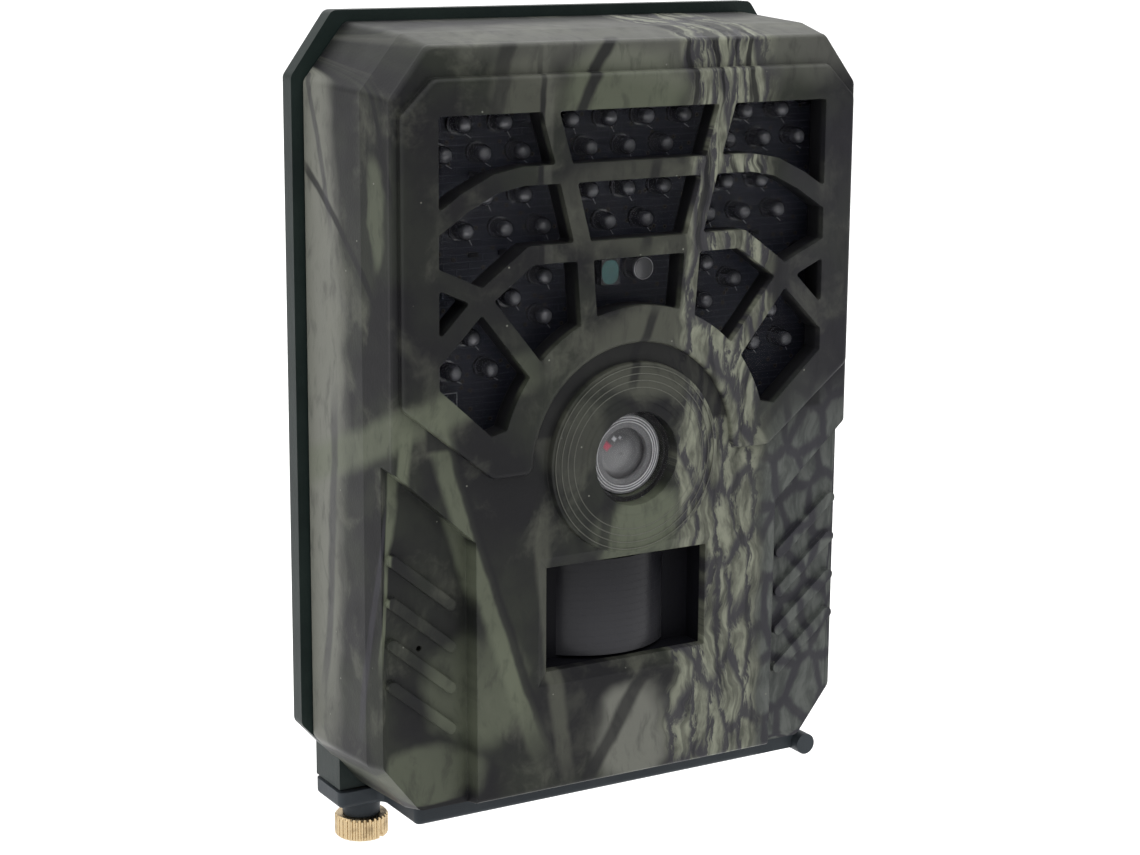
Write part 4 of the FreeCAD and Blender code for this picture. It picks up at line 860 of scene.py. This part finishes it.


# ---- movement detector ------------------------------------------------------------------
# A dark, milky polyethylene window, lighter towards the bottom with painted light, with faint
# flat lens fields, in front of a metal-canned sensor.
def detector_window():
    finish, tree, shader = start_material("detector_window")
    point = millimetres(tree)
    x, y, z = split(tree, point)
    low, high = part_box("pir_lens")
    # Painted light: the window lightens towards the bottom.
    painted_light_below = band(tree, z, high.z * 1000, low.z * 1000)
    milky_and_lit = blend(tree, painted_light_below, (0.007, 0.007, 0.009), (0.022, 0.022, 0.025))
    drift = calc(tree, "MULTIPLY", cloud(tree, point, 0.2, 3.0), 0.2)
    milky_and_lit = blend(tree, drift, milky_and_lit, (0.030, 0.030, 0.034))
    fields = tree.nodes.new("ShaderNodeTexBrick")
    tree.links.new(join(tree, x, z, 0.0), fields.inputs["Vector"])
    fields.inputs["Scale"].default_value = 0.2
    fields.inputs["Mortar Size"].default_value = 0.01
    tree.links.new(milky_and_lit, shader.inputs["Base Color"])
    shader.inputs["Roughness"].default_value = 0.30
    shader.inputs["Specular IOR Level"].default_value = 0.16
    raise_surface(tree, shader, fields.outputs["Fac"], 0.00003, 0.5)
    return finish


coat("pir_lens", detector_window())
can_metal = plated_steel("can_metal", (0.66, 0.66, 0.68), 0.28)
for node in ("pir_sensor", "board_capacitors", "microphone"):
    coat(node, can_metal)
shield_metal = plated_steel("shield_metal", (0.72, 0.72, 0.74), 0.20)
for node in ("usb_port", "card_slot", "mode_switch", "contact_plates"):
    coat(node, shield_metal)


# ---- chips, sensors and the filter ------------------------------------------------------
# Small moulded packages, the coated sensor glass, the sliding filter and its copper coil.
chip_black = moulded("chip_black", (0.012, 0.012, 0.013), (0.022, 0.022, 0.024), 0.50, 6.0, 0.00002, 0.4)
for node in ("processor", "memory_chip", "power_coils", "led_resistors", "memory_card"):
    coat(node, chip_black)


def tinted_package(name, colour, roughness, scale):
    finish, tree, shader = start_material(name)
    point = millimetres(tree)
    drift = cloud(tree, point, scale, 3.0)
    tree.links.new(blend(tree, drift, colour, tuple(min(1.0, c * 1.8 + 0.01) for c in colour)),
                   shader.inputs["Base Color"])
    tree.links.new(calc(tree, "MULTIPLY_ADD", drift, 0.15, roughness), shader.inputs["Roughness"])
    shader.inputs["Coat Weight"].default_value = 0.5
    return finish


def oval_sensor(node, colour, rim_colour):
    """A teal filter in the middle of a dark package."""
    finish, tree, shader = start_material("sensor_teal")
    point = millimetres(tree)
    x, y, z = split(tree, point)
    low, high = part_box(node)
    across = calc(tree, "DIVIDE", calc(tree, "SUBTRACT", x, (low.x + high.x) * 500), (high.x - low.x) * 500)
    up = calc(tree, "DIVIDE", calc(tree, "SUBTRACT", z, (low.z + high.z) * 500), (high.z - low.z) * 500)
    far = calc(tree, "ADD", calc(tree, "POWER", calc(tree, "ABSOLUTE", across), 2.6),
               calc(tree, "POWER", calc(tree, "ABSOLUTE", up), 2.6))
    front = band(tree, y, low.y * 1000 + 0.6, low.y * 1000 + 0.2)
    pane = calc(tree, "MULTIPLY", band(tree, far, 0.95, 0.70), front)
    tone = blend(tree, cloud(tree, point, 0.9, 3.0), colour, tuple(c * 1.7 for c in colour))
    tree.links.new(blend(tree, pane, rim_colour, tone), shader.inputs["Base Color"])
    shader.inputs["Roughness"].default_value = 0.22
    return finish


coat("light_sensor", oval_sensor("light_sensor", (0.035, 0.130, 0.125), (0.014, 0.017, 0.019)))
coat("image_sensor", tinted_package("sensor_glass", (0.030, 0.022, 0.055), 0.08, 0.9))
coat("filter_coil", tinted_package("coil_copper", (0.42, 0.18, 0.09), 0.30, 2.4))
for node in ("ir_cut_filter", "pir_filter"):
    coat(node, clear_sheet(node + "_glass", (0.10, 0.30, 0.33), 0.6, 0.03, 1.52))


# ---- batteries --------------------------------------------------------------------------
# Three cells in plain printed sleeves, a bare steel cap at one end, and coiled contacts.
def cell_sleeve(node, cap_up):
    finish, tree, shader = start_material(node + "_sleeve")
    point = millimetres(tree)
    x, y, z = split(tree, point)
    low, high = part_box(node)
    share = calc(tree, "DIVIDE", calc(tree, "SUBTRACT", z, low.z * 1000), (high.z - low.z) * 1000)
    if not cap_up:
        share = calc(tree, "SUBTRACT", 1.0, share)
    colour = blend(tree, band(tree, share, 0.695, 0.705), (0.020, 0.050, 0.130), (0.62, 0.42, 0.10))
    colour = blend(tree, band(tree, share, 0.965, 0.975), colour, (0.55, 0.55, 0.57))
    rubbed = calc(tree, "MULTIPLY", band(tree, cloud(tree, point, 0.8, 5.0, 0.7), 0.60, 0.75), 0.3)
    colour = blend(tree, rubbed, colour, (0.35, 0.35, 0.36))
    tree.links.new(colour, shader.inputs["Base Color"])
    tree.links.new(band(tree, share, 0.965, 0.975), shader.inputs["Metallic"])
    shader.inputs["Roughness"].default_value = 0.24
    raise_surface(tree, shader, cloud(tree, point, 1.2, 3.0), 0.00002)
    return finish


for k in range(3):
    cell = "battery_cell_%d" % (k + 1)
    coat(cell, cell_sleeve(cell, k % 2 == 0))


def spring_tree(finish, sizes):
    tree, size = new_tree("coiled_contacts", sizes)
    coil = geo(tree, "GeometryNodeCurveSpiral",
               {"Resolution": 32, "Rotations": size["Turns"], "Start Radius": size["Foot radius"],
                "End Radius": size["Tip radius"], "Height": size["Height"]})
    wire = geo(tree, "GeometryNodeCurvePrimitiveCircle", {"Resolution": 8, "Radius": size["Wire"]})
    tube = geo(tree, "GeometryNodeCurveToMesh",
               {"Curve": coil.outputs[0], "Profile Curve": wire.outputs[0], "Fill Caps": True})
    placed = geo(tree, "GeometryNodeInstanceOnPoints",
                 {"Points": size["Geometry"], "Instance": tube.outputs[0]})
    turned = geo(tree, "GeometryNodeRotateInstances", {"Instances": placed.outputs[0]})
    lean_over = geo(tree, "ShaderNodeCombineXYZ", {"X": size["Turn over"]})
    tree.links.new(lean_over.outputs[0], turned.inputs["Rotation"])
    close_tree(tree, turned.outputs[0], finish)
    return tree


wire_radius = 0.00035
spring_boxes = sorted(solids_of("contact_springs"), key=lambda pair: pair[0].x)
for name, boxes, over in (("upright_springs", spring_boxes[::2], 0.0),
                          ("hanging_springs", spring_boxes[1:2], math.pi)):
    low, high = boxes[0]
    end = high.z - wire_radius if over else low.z + wire_radius
    spring = {"Turns": 4.5, "Foot radius": 0.0038, "Tip radius": 0.0022,
              "Height": high.z - low.z - 2 * wire_radius, "Wire": wire_radius, "Turn over": over}
    seeds = [((a.x + b.x) / 2, (a.y + b.y) / 2, end) for a, b in boxes]
    grow_piece(name, spring_tree(shield_metal, spring), spring, seeds, shield_metal, "camera",
               stands_for=("contact_springs",) if not over else ())


# ---- floor finish -----------------------------------------------------------------------
# A plain white paper sweep.
paper, paper_tree, paper_shader = start_material("paper")
paper_point = millimetres(paper_tree)
paper_tree.links.new(blend(paper_tree, cloud(paper_tree, paper_point, 0.02, 2.0), (0.86, 0.86, 0.86),
                           (0.90, 0.90, 0.90)), paper_shader.inputs["Base Color"])
paper_shader.inputs["Roughness"].default_value = 0.9
floor_mesh.materials.append(paper)

# ---- outer box --------------------------------------------------------------------------
low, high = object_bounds()
